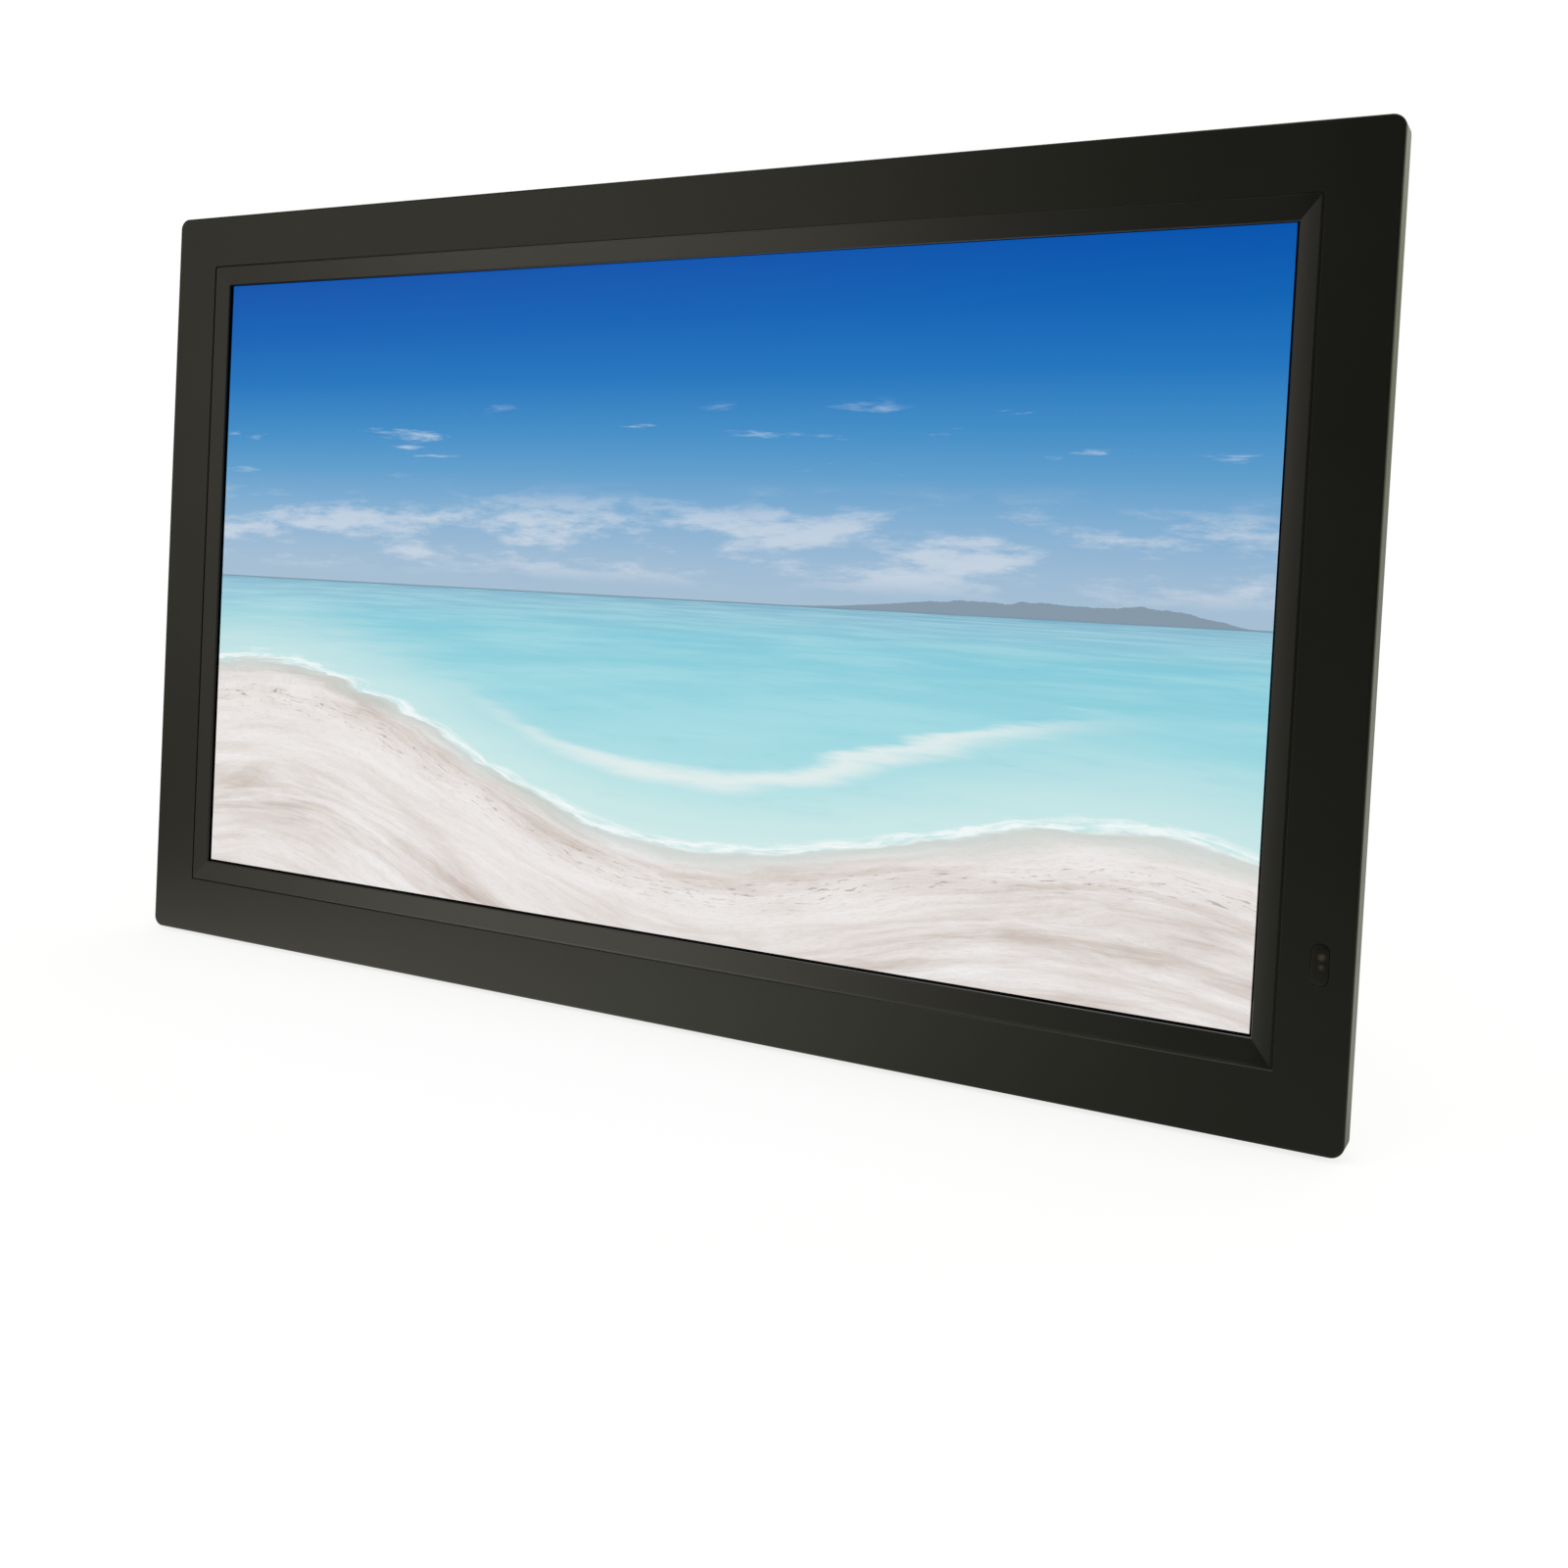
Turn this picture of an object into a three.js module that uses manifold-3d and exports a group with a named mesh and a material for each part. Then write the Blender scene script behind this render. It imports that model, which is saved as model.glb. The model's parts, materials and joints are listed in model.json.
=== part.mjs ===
// Digital photo frame with a wide flat border, a sloped inner bevel and a fold-out rear leg.
// Millimetres, +Z up, the screen faces -Y. Every piece is drawn in the upright panel's own
// frame (X right, Y back from the border's front face, Z up from the bottom edge), and the
// whole panel then leans back on its leg.
import * as THREE from 'three';
import { mergeVertices } from 'three/addons/utils/BufferGeometryUtils.js';
import Module from 'manifold-3d';

const wasm = await Module();
wasm.setup();

// ---------------------------------------------------------------- driving sizes
const GAP = 0.3; // working clearance between neighbouring pieces
const JOIN = 0.2; // overlap where two shapes become one solid
const OVER = 1; // how far a cutter passes the face it opens
const LEAN = THREE.MathUtils.degToRad(6); // backward lean of the standing panel

// screen, and the borders that stand round it one outside the other
const SCREEN_W = 409.8;
const SCREEN_H = 230.4;
const BEVEL_SIDE = 7.3; // picture's edge to the middle of the seam
const BEVEL_TOP = 7.5;
const BEVEL_BOTTOM = 8.4;
const BORDER_SIDE = 20.5; // middle of the seam to the outer edge
const BORDER_TOP = 20.05;
const BORDER_BOTTOM = 21.8;

// front moulding
const FRAME_DEPTH = 9.6;
const CORNER_R = 4;
const EDGE_R = 1.2;
const SIDE_WALL = 2;
const PLATE_T = 2.4;
const RIB_T = 1.2;
const RIB_DEPTH = 3.6;
const RIB_PITCH = 36;
const RIB_CLEAR = 5.5; // between a rib's end and the ring's seam

// bevel ring
const RING_T = 1.9;
const RING_LAND = 0.25; // flat rim before the bevel falls away
const SEAM_W = 0.8;
const SEAM_DEPTH = 1;
const BEVEL_DROP = 1.6;
const LIP_T = 0.6;
const LIP_W = 1.3;
const LIP_MARGIN = 0.75; // from the picture's edge to the lip
const CLIP_W = 22;
const CLIP_T = 1.2;
const CLIP_REACH = 4.5;
const CLIP_NECK = 1.2;
const CLIP_INSET = 45; // from the picture's corners to the nearest clips

// display module, front to back
const CELL_BELOW_BEVEL = 1.35;
const CELL_T = 1.2;
const CELL_BORDER_SIDE = 4;
const BEZEL_T = 0.4;
const BEZEL_LAP = 3.2; // how far the steel bezel laps over the cell
const MODULE_BORDER_SIDE = 5.7; // from the picture's edge to the module's side
const MODULE_SKIRT = 6.5;
const MID_FRAME_T = 2.2;
const MID_FRAME_WINDOW = 1.5;
const FILM_T = 0.4;
const FILM_MARGIN = 3.6;
const GUIDE_T = 3;
const LED_STRIP_H = 2.2;
const LED_COUNT = 12;
const LED_W = 6;
const TRAY_T = 0.8;
const TRAY_RIB_T = 1.6;
const TRAY_RIB_W = 9;
const TRAY_RIB_INSET = 54; // from the picture's edges to the ribs

// rear cover
const COVER_T = 2.4;
const CUT_DEPTH = 5; // openings in the rear skin are cut from this far inside
const COVER_LIP_DEPTH = 3.1;
const COVER_LIP_T = 2;
const COVER_EDGE_INSET = 1;
const COVER_RIM = 1.7; // upright edge before the slope begins
const SLOPE_START_INSET = 4;
const SLOPE_END_INSET = 30;
const SLOPE_START_RISE = 3.1;
const BACK_Y = 24; // rear face of the cover's main plane
const BACK_CORNER_R = 16;
const BOX_W = 256;
const BOX_BOTTOM = 34;
const BOX_TOP_INSET = 52.15; // box top below the frame's top edge
const BOX_Y = 38; // rear face of the raised box
const BOX_CORNER_R = 9;
const BOX_CHAMFER = 1.6;
const BOX_WALL = 2.2;

// screws that hold the cover
const SCREW_SIDE_INSET = 11;
const SCREW_CORNER_INSET = 28;
const SCREW_END_INSET = 10.5;
const SCREW_BITE = 0.6; // plate left under a screw's pilot hole
const POST_R = 3.6;
const SCREW_R = 1.3;
const SCREW_HEAD_R = 2.9;
const SCREW_HEAD_T = 1.9;
const HEAD_CLEAR = 0.5; // round a screw head in its recess
const PILLAR_R = 5.4;
const SCREW_SEAT_T = 2;

// speakers, vents and wall mounting
const SPEAKER_INSET = 28; // speaker centres from the box's sides
const SPEAKER_DROP = 40; // speaker centres below the box's top
const SPEAKER_W = 34;
const SPEAKER_H = 46;
const SPEAKER_DEPTH = 9;
const SPEAKER_CONE_R = 13;
const GRILLE_SLOTS = 7;
const GRILLE_PITCH = 4.4;
const GRILLE_SLOT_W = 1.8;
const GRILLE_R = 16;
const VENT_MARGIN = 15; // from the vent's ends to the box and to the slope
const VENT_SLOT_W = 2;
const VENT_PITCH = 7;
const VENT_COUNT = 14;
const TOP_VENT_DROP = 22; // vent centre below the box's top
const TOP_VENT_LENGTH = 22;
const TOP_VENT_PITCH = 6;
const TOP_VENT_COUNT = 12;
const WALL_PATTERN = 100; // square of four threaded inserts
const WALL_DROP = 64; // pattern centre below the box's top
const INSERT_R = 3;
const INSERT_BORE_R = 2;
const INSERT_LENGTH = 8;
const INSERT_BOSS_R = 5.4;

// fold-out leg and its hinge
const LEG_OPEN = THREE.MathUtils.degToRad(120);
const LEG_W = 60;
const LEG_TIP_W = 48;
const LEG_T = 6;
const LEG_SHELL = 2;
const LEG_NECK = 8; // clear length beside the hinge lugs
const LEG_NOTCH_W = 20;
const LEG_NOTCH_DEPTH = 9;
const LEG_RIBS = 4;
const LEG_TRUSS_X = 9;
const HINGE_Z = 60;
const HINGE_Y = 34;
const BARREL_R = 3.7;
const BARREL_W = 40;
const PIN_R = 1.6;
const PIN_HEAD_R = 2.6;
const PIN_HEAD_T = 1.2;
const LUG_T = 1.6;
const LUG_R = 3.6;
const BRACKET_T = 1.2;
const BRACKET_H = 20;
const WASHER_T = 1;
const WASHER_R = 3.4;
const TUB_SIDE = 1.2;
const TUB_FLOOR_Y = 28.5;
const TUB_WALL = 2;
const TUB_BELOW = 11; // tub below the hinge axis
const TUB_ABOVE = 6.5; // tub beyond the folded leg, past the tip of its slanted sole
const PAD_LENGTH = 9;
const SPIGOT_W = 8;
const SPIGOT_T = 2.4;

// rubber feet under the front moulding
const LIFT = 1.2; // bottom front edge above the table
const FOOT_INSET = 42.7; // foot centres from the frame's sides
const FOOT_W = 36;
const FOOT_FRONT = 4.4;
const FOOT_BACK = 9;
const FOOT_SEAT = 0.6;

// infrared window, low on the right border
const IR_INSET = 9.4; // window's centre from the frame's side
const IR_Z = 53.25;
const IR_W = 4.6;
const IR_H = 11.6;
const IR_FLANGE = 0.9;
const IR_FLANGE_T = 0.8;
const IR_SUNK = 0.05;
const RECEIVER_Z = 55.2;
const RECEIVER_R = 1.3;
const LED_Z = 52.4;
const LED_R = 0.75;
const IR_BOARD_Y = 7.2;
const IR_BOARD_W = 8.4;
const IR_BOARD_H = 20;
const IR_BOARD_T = 1.2;

// boards
const BOARD_T = 1.6;
const BOARD_REAR_Y = 25.5;
const BOARD_CLEAR = 7.8; // board's ends to the box's walls
const BOARD_BOTTOM = 37.5;
const BOARD_H = 84;
const CHIP_W = 24;
const CHIP_INSET = 56; // chip's middle from the box's side
const CHIP_Z = 94;
const SINK_W = 34;
const SINK_FINS = 7;
const SINK_FIN_T = 1.4;
const SINK_FIN_H = 4.5;
const SINK_BASE_T = 1.8;
const CHIP_T = 1.6;
const TIMING_W = 150;
const TIMING_H = 22;
const TIMING_DROP = 10; // board centre below the box's top
const RIBBON_W = 26;
const RIBBON_T = 0.6;
const RIBBON_X = 20;
const RIBBON_BEND = 60;
const RIBBON_LAP = 14; // ribbon's end over the main board

// buttons on the back of the cover, by the right edge seen from the front
const BUTTON_NAMES = ['power', 'menu', 'up', 'down', 'left', 'right', 'enter'];
const BUTTON_MID_RISE = 1.925; // middle button above the frame's centre
const BUTTON_PITCH = 17;
const BUTTON_W = 11;
const BUTTON_H = 7.4;
const BUTTON_PROUD = 1.1;
const BUTTON_TRAVEL = 0.7;
const BUTTON_FLANGE = 0.9;
const BUTTON_FLANGE_T = 0.8;
const KEY_BOARD_W = 18;
const KEY_SWITCH = 6;
const KEY_SWITCH_T = 3.5;

// sockets in the raised box's lower wall, standing on the board's rear face; a socket's x
// is worked out from its distance to the box's left or right side
const PORT_SUNK = 0.8;
const fromLeft = (distance) => distance - BOX_W / 2;
const fromRight = (distance) => BOX_W / 2 - distance;
const DC = { x: fromLeft(24), w: 9, h: 9, depth: 14, bore: 3.2, pin: 1 };
const SWITCH = { x: fromLeft(50), w: 13, h: 6, depth: 8, slot: 7.4, slotH: 3.2, knob: 4, knobH: 2.6 };
const SWITCH_PROUD = 1.4;
const AUDIO = { x: fromLeft(76), w: 7.6, h: 6, depth: 12, bore: 1.8 };
const HDMI_MOUTH = { mouthW: 14, mouthH: 4.4, tongueW: 11.6, tongueT: 1.4 };
const HDMI = { x: fromRight(72), w: 15.2, h: 6, depth: 12, ...HDMI_MOUTH };
const USB_MOUTH = { mouthW: 12.4, mouthH: 5, tongueW: 11.2, tongueT: 1.8 };
const USB = { x: fromRight(48), w: 13.4, h: 6, depth: 14, ...USB_MOUTH };
const CARD = { x: fromRight(22), w: 27, h: 3.4, depth: 28, mouthW: 24.6, mouthH: 2.3, mouthDepth: 20 };

// ---------------------------------------------------------------- worked-out places
const FRAME_W = SCREEN_W + 2 * (BEVEL_SIDE + BORDER_SIDE);
const FRAME_H = SCREEN_H + BEVEL_TOP + BEVEL_BOTTOM + BORDER_TOP + BORDER_BOTTOM;
const RING_W = SCREEN_W + 2 * BEVEL_SIDE;
const RING_H = SCREEN_H + BEVEL_TOP + BEVEL_BOTTOM;
const RING_Z = BORDER_BOTTOM + RING_H / 2;
const SCREEN_Z = BORDER_BOTTOM + BEVEL_BOTTOM + SCREEN_H / 2;
const LIP_W_IN = SCREEN_W + 2 * LIP_MARGIN;
const LIP_H_IN = SCREEN_H + 2 * LIP_MARGIN;
const CELL_Y = BEVEL_DROP + CELL_BELOW_BEVEL;
const BEZEL_Y = CELL_Y - GAP - BEZEL_T;
const MID_FRAME_Y = CELL_Y + CELL_T + GAP;
const FILM_Y = MID_FRAME_Y + MID_FRAME_T + GAP;
const GUIDE_Y = FILM_Y + 2 * (FILM_T + GAP);
const REFLECTOR_Y = GUIDE_Y + GUIDE_T + GAP;
const TRAY_Y = REFLECTOR_Y + FILM_T + GAP;
const COVER_Y = FRAME_DEPTH + GAP;
const SLOPE_START_Y = COVER_Y + SLOPE_START_RISE;
const BOX_TOP = FRAME_H - BOX_TOP_INSET;
const BOX_MID_Z = (BOX_BOTTOM + BOX_TOP) / 2;
const BOX_H = BOX_TOP - BOX_BOTTOM;
const HINGE_UP = HINGE_Z * Math.cos(LEAN) - HINGE_Y * Math.sin(LEAN) + LIFT;
const LEG_SLOPE = LEG_OPEN + LEAN - Math.PI / 2; // open leg below the horizontal
const LEG_REACH = HINGE_UP / Math.sin(LEG_SLOPE); // hinge axis to the table along the leg
const TUB_W = LEG_W + 2 * TUB_SIDE;
const TUB_BOTTOM = HINGE_Z - TUB_BELOW;
const TUB_TOP = HINGE_Z + LEG_REACH + TUB_ABOVE;
const SCREWS = [SCREW_CORNER_INSET, FRAME_H / 2, FRAME_H - SCREW_CORNER_INSET]
  .flatMap((z) => [-1, 1].map((s) => [s * (FRAME_W / 2 - SCREW_SIDE_INSET), z]))
  .concat([[0, SCREW_END_INSET], [0, FRAME_H - SCREW_END_INSET]]);
const WALL_Z = BOX_TOP - WALL_DROP;
const BOARD_W = BOX_W - 2 * (BOX_WALL + BOARD_CLEAR);
const SPEAKER_X = BOX_W / 2 - SPEAKER_INSET;
const SPEAKER_Z = BOX_TOP - SPEAKER_DROP;
const TIMING_Z = BOX_TOP - TIMING_DROP;
const CHIP_X = CHIP_INSET - BOX_W / 2;
const FLAT_W = FRAME_W / 2 - SLOPE_END_INSET - BOX_W / 2; // flat strip beside the box
const FLAT_X = BOX_W / 2 + FLAT_W / 2;
const BUTTON_MID_Z = FRAME_H / 2 + BUTTON_MID_RISE;
const IR_X = FRAME_W / 2 - IR_INSET;
const FOOT_X = FRAME_W / 2 - FOOT_INSET;

// ---------------------------------------------------------------- shape helpers
function rect(w, h, r = 0, cx = 0, cy = 0) {
  const s = new THREE.Shape();
  const [x, y] = [w / 2, h / 2];
  if (r <= 0) {
    s.moveTo(cx - x, cy - y).lineTo(cx + x, cy - y).lineTo(cx + x, cy + y).lineTo(cx - x, cy + y);
    return s;
  }
  s.absarc(cx + x - r, cy - y + r, r, -Math.PI / 2, 0, false);
  s.absarc(cx + x - r, cy + y - r, r, 0, Math.PI / 2, false);
  s.absarc(cx - x + r, cy + y - r, r, Math.PI / 2, Math.PI, false);
  s.absarc(cx - x + r, cy - y + r, r, Math.PI, 1.5 * Math.PI, false);
  return s;
}

function disc(r, cx = 0, cy = 0) {
  return new THREE.Shape().absarc(cx, cy, r, 0, 2 * Math.PI, false);
}

function polygon(points) {
  return new THREE.Shape(points.map(([x, y]) => new THREE.Vector2(x, y)));
}

// Prisms along each axis. The outline is (x, y) for Z, (x, z) for Y and (y, z) for X.
function alongZ(shape, z0, z1, fine = 2) {
  const g = new THREE.ExtrudeGeometry(shape, { depth: z1 - z0, bevelEnabled: false, curveSegments: fine });
  return g.translate(0, 0, z0);
}

function alongY(shape, y0, y1, fine = 2) {
  return alongZ(shape, 0, y1 - y0, fine).rotateX(Math.PI / 2).translate(0, y1, 0);
}

function alongX(shape, x0, x1, fine = 2) {
  const turn = new THREE.Matrix4().makeBasis(
    new THREE.Vector3(0, 1, 0),
    new THREE.Vector3(0, 0, 1),
    new THREE.Vector3(1, 0, 0),
  );
  return alongZ(shape, 0, x1 - x0, fine).applyMatrix4(turn).translate(x0, 0, 0);
}

function block(x0, x1, y0, y1, z0, z1) {
  const g = new THREE.BoxGeometry(x1 - x0, y1 - y0, z1 - z0);
  return g.translate((x0 + x1) / 2, (y0 + y1) / 2, (z0 + z1) / 2);
}

function solid(geometry) {
  const bare = geometry.clone();
  bare.deleteAttribute('normal');
  bare.deleteAttribute('uv');
  const g = mergeVertices(bare, 1e-5);
  const mesh = new wasm.Mesh({
    numProp: 3,
    vertProperties: new Float32Array(g.attributes.position.array),
    triVerts: new Uint32Array(g.index.array),
  });
  return new wasm.Manifold(mesh);
}

// Separate closed geometries as one solid of several bodies.
function solids(geometries) {
  return geometries.map(solid).reduce((all, next) => all.add(next));
}

function cut(body, ...geometries) {
  return geometries.length ? body.subtract(solids(geometries)) : body;
}

function geometryOf(body) {
  const m = body.getMesh();
  const g = new THREE.BufferGeometry();
  g.setAttribute('position', new THREE.BufferAttribute(new Float32Array(m.vertProperties), 3));
  g.setIndex(new THREE.BufferAttribute(new Uint32Array(m.triVerts), 1));
  return g;
}

// A closed skin through rounded rectangles {w, h, r, y, z} set one behind another in Y.
function loft(sections, corner = 4) {
  const rings = sections.map(({ w, h, r, y, z }) => {
    const ring = [];
    for (let q = 0; q < 4; q++) {
      const [sx, sz] = [q === 0 || q === 3 ? 1 : -1, q < 2 ? 1 : -1];
      for (let k = 0; k <= corner; k++) {
        const a = (q + k / Math.max(corner, 1)) * (Math.PI / 2);
        ring.push([sx * (w / 2 - r) + r * Math.cos(a), y, z + sz * (h / 2 - r) + r * Math.sin(a)]);
      }
    }
    return ring;
  });
  const n = rings[0].length;
  const points = rings.flat();
  const [front, back] = [points.length, points.length + 1];
  points.push([0, sections[0].y, sections[0].z], [0, sections.at(-1).y, sections.at(-1).z]);
  const faces = [];
  for (let i = 0; i < n; i++) {
    const j = (i + 1) % n;
    faces.push([front, i, j], [back, (rings.length - 1) * n + j, (rings.length - 1) * n + i]);
    for (let k = 0; k < rings.length - 1; k++) {
      const [a, b, c, d] = [k * n + i, k * n + j, (k + 1) * n + j, (k + 1) * n + i];
      faces.push([a, d, c], [a, c, b]);
    }
  }
  const g = new THREE.BufferGeometry();
  g.setAttribute('position', new THREE.BufferAttribute(new Float32Array(points.flat()), 3));
  g.setIndex(faces.flat());
  return g;
}

// A rounded rectangle a given distance inside the frame's outline.
function inset(d, r, y) {
  return { w: FRAME_W - 2 * d, h: FRAME_H - 2 * d, r, y, z: FRAME_H / 2 };
}

// ---------------------------------------------------------------- materials
function finish(color, roughness, metalness = 0) {
  return new THREE.MeshStandardMaterial({ color, roughness, metalness });
}

const BLACK_PLASTIC = finish('#24241f', 0.42);
const BEVEL_PLASTIC = finish('#2c2b28', 0.36);
const REAR_PLASTIC = finish('#1d1d1b', 0.62);
const KEY_PLASTIC = finish('#2a2a29', 0.5);
const RUBBER = finish('#161616', 0.85);
const STEEL = finish('#a9abad', 0.38, 1);
const BRASS = finish('#b08d4f', 0.35, 1);
const PICTURE = finish('#5f93b5', 0.3);
const SMOKED = finish('#100c0b', 0.15);
const DIFFUSER = finish('#e9ecec', 0.5);
const CLEAR_GUIDE = finish('#dfe8ea', 0.1);
const BOARD_GREEN = finish('#1f5a34', 0.55);
const CHIP_BLACK = finish('#1a1b1d', 0.5);
const ALUMINIUM = finish('#b9bcbf', 0.4, 1);
const FILM_WHITE = finish('#f3f3f0', 0.6);

const panel = new THREE.Group();

function place(name, body, material, parent = panel) {
  const geometry = body.isBufferGeometry ? body : geometryOf(body);
  const mesh = new THREE.Mesh(geometry, material);
  mesh.name = name;
  parent.add(mesh);
  return mesh;
}

// ---------------------------------------------------------------- front moulding
function frontFrame() {
  const steps = 3;
  const fillet = [];
  for (let k = 0; k <= steps; k++) {
    const a = (k / steps) * (Math.PI / 2);
    const d = EDGE_R * (1 - Math.sin(a));
    fillet.push(inset(d, CORNER_R - d, EDGE_R * (1 - Math.cos(a))));
  }
  const outer = solid(loft([...fillet, inset(0, CORNER_R, FRAME_DEPTH)]));
  const posts = SCREWS.map(([x, z]) =>
    alongY(disc(POST_R, x, z), PLATE_T - GAP, COVER_Y - GAP - JOIN, 5));
  const pilots = SCREWS.map(([x, z]) =>
    alongY(disc(SCREW_R + GAP, x, z), PLATE_T + SCREW_BITE, FRAME_DEPTH + OVER, 4));
  const cavity = loft([
    inset(SIDE_WALL, CORNER_R - SIDE_WALL, PLATE_T),
    inset(SIDE_WALL, CORNER_R - SIDE_WALL, FRAME_DEPTH + OVER),
  ]);
  const window = alongY(rect(RING_W + SEAM_W, RING_H + SEAM_W, 0.5, 0, RING_Z), -OVER, PLATE_T + OVER);
  const slot = alongY(stadium(GAP), -OVER, PLATE_T + OVER, 4);
  const seats = [-1, 1].map((s) => footSeat(s * FOOT_X, 0));
  const walls = cut(outer, cavity).add(solids([...posts, ...borderRibs()]));
  return cut(walls, window, slot, ...pilots, ...seats);
}

// Short ribs that tie the long walls to the plate, clear of the ring's clips.
function borderRibs() {
  const ribs = [];
  const [low, high] = [RING_Z - RING_H / 2 - RIB_CLEAR, RING_Z + RING_H / 2 + RIB_CLEAR];
  const count = Math.floor((FRAME_W / 2 - CORNER_R) / RIB_PITCH);
  for (let k = 0; k < count; k++) {
    for (const x of [-1, 1].map((s) => s * (k + 0.5) * RIB_PITCH)) {
      const [x0, x1, y0, y1] = [x - RIB_T / 2, x + RIB_T / 2, PLATE_T - JOIN, PLATE_T + RIB_DEPTH];
      ribs.push(block(x0, x1, y0, y1, SIDE_WALL - JOIN, low));
      ribs.push(block(x0, x1, y0, y1, high, FRAME_H - SIDE_WALL + JOIN));
    }
  }
  return ribs;
}

function stadium(grow) {
  const w = IR_W + 2 * grow;
  return rect(w, IR_H + 2 * grow, w / 2 - 0.01, IR_X, IR_Z);
}

// Shallow seat for a rubber foot in the bottom wall, grown by a clearance of zero or less.
function footSeat(x, grow) {
  const half = FOOT_W / 2 + grow;
  return block(x - half, x + half, FOOT_FRONT - grow, FOOT_BACK + grow, -1, FOOT_SEAT);
}

function rubberFoot(x) {
  const half = FOOT_W / 2 - GAP;
  const top = FOOT_SEAT - GAP;
  const [y0, y1] = [FOOT_FRONT + GAP, FOOT_BACK - GAP];
  const sole = (y) => (y * Math.sin(LEAN) - LIFT) / Math.cos(LEAN); // where the table lies
  return alongX(polygon([[y0, sole(y0)], [y1, sole(y1)], [y1, top], [y0, top]]), x - half, x + half);
}

// ---------------------------------------------------------------- bevel ring
function bevelRing() {
  const at = (t, y) => ({
    w: THREE.MathUtils.lerp(RING_W - SEAM_W - 2 * RING_LAND, LIP_W_IN, t),
    h: THREE.MathUtils.lerp(RING_H - SEAM_W - 2 * RING_LAND, LIP_H_IN, t),
    r: 0,
    y,
    z: THREE.MathUtils.lerp(RING_Z, SCREEN_Z, t),
  });
  const funnel = loft([at(-0.1, -0.1 * BEVEL_DROP), at(1, BEVEL_DROP), at(1, BEVEL_DROP + 2)], 0);
  const flangeW = RING_W + SEAM_W - 2 * GAP;
  const flangeH = RING_H + SEAM_W - 2 * GAP;
  const body = solids([
    alongY(rect(RING_W - SEAM_W, RING_H - SEAM_W, 0, 0, RING_Z), 0, RING_T),
    alongY(rect(flangeW, flangeH, 0, 0, RING_Z), SEAM_DEPTH, RING_T),
    alongY(rect(LIP_W_IN + 2 * LIP_W, LIP_H_IN + 2 * LIP_W, 0, 0, SCREEN_Z),
      BEVEL_DROP - JOIN, BEVEL_DROP + LIP_T),
  ]);
  const clips = [];
  for (const s of [-1, 1]) {
    for (const z of [-1, 1].map((t) => SCREEN_Z + t * (SCREEN_H / 2 - CLIP_INSET))) {
      const hook = clipHook(flangeW / 2).map(([out, y]) => [s * out, y]);
      clips.push(alongZ(polygon(hook), z - CLIP_W / 2, z + CLIP_W / 2));
    }
    for (const x of [-1, 0, 1].map((t) => t * (SCREEN_W / 2 - CLIP_INSET))) {
      const hook = clipHook(flangeH / 2).map(([out, y]) => [y, RING_Z + s * out]);
      clips.push(alongX(polygon(hook), x - CLIP_W / 2, x + CLIP_W / 2));
    }
  }
  return cut(body.add(solids(clips)), funnel);
}

// Section of a snap hook that reaches out behind the front plate, as (outward, back).
function clipHook(edge) {
  const [neck, root] = [edge - CLIP_NECK, edge - 0.1];
  const [tip, under] = [edge + CLIP_REACH, PLATE_T + GAP];
  return [
    [neck, RING_T - JOIN], [root, RING_T - JOIN], [root, under],
    [tip, under], [tip, under + CLIP_T], [neck, under + CLIP_T],
  ];
}

// ---------------------------------------------------------------- display module
function around(margin, r = 0.5) {
  return rect(SCREEN_W + 2 * margin, SCREEN_H + 2 * margin, r, 0, SCREEN_Z);
}

function lcdCell() {
  return alongY(around(CELL_BORDER_SIDE, 0), CELL_Y, CELL_Y + CELL_T);
}

function steelBezel() {
  const end = BEZEL_Y + MODULE_SKIRT;
  const outer = solid(alongY(around(MODULE_BORDER_SIDE), BEZEL_Y, end));
  const inside = alongY(around(MODULE_BORDER_SIDE - BEZEL_T), BEZEL_Y + BEZEL_T, end + OVER);
  const view = alongY(around(MODULE_BORDER_SIDE - BEZEL_LAP), BEZEL_Y - OVER, BEZEL_Y + BEZEL_T + OVER);
  return cut(outer, inside, view);
}

function midFrame() {
  const side = MODULE_BORDER_SIDE - BEZEL_T - GAP;
  const body = solid(alongY(around(side), MID_FRAME_Y, MID_FRAME_Y + MID_FRAME_T));
  return cut(body, alongY(around(MID_FRAME_WINDOW), MID_FRAME_Y - OVER, MID_FRAME_Y + MID_FRAME_T + OVER));
}

function film(y) {
  return alongY(around(FILM_MARGIN, 0), y, y + FILM_T);
}

function lightGuide() {
  const low = SCREEN_Z - SCREEN_H / 2 - FILM_MARGIN + LED_STRIP_H + GAP;
  const high = SCREEN_Z + SCREEN_H / 2 + FILM_MARGIN;
  const half = SCREEN_W / 2 + FILM_MARGIN;
  return block(-half, half, GUIDE_Y, GUIDE_Y + GUIDE_T, low, high);
}

function ledStrip() {
  const low = SCREEN_Z - SCREEN_H / 2 - FILM_MARGIN;
  const half = SCREEN_W / 2 + FILM_MARGIN;
  const base = LED_STRIP_H / 2;
  const pieces = [block(-half, half, GUIDE_Y, GUIDE_Y + GUIDE_T, low, low + base)];
  for (let k = 0; k < LED_COUNT; k++) {
    const x = -half + ((k + 0.5) / LED_COUNT) * 2 * half;
    pieces.push(block(x - LED_W / 2, x + LED_W / 2, GUIDE_Y + 0.4, GUIDE_Y + GUIDE_T - 0.4,
      low + base - JOIN, low + LED_STRIP_H));
  }
  return solids(pieces);
}

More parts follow.
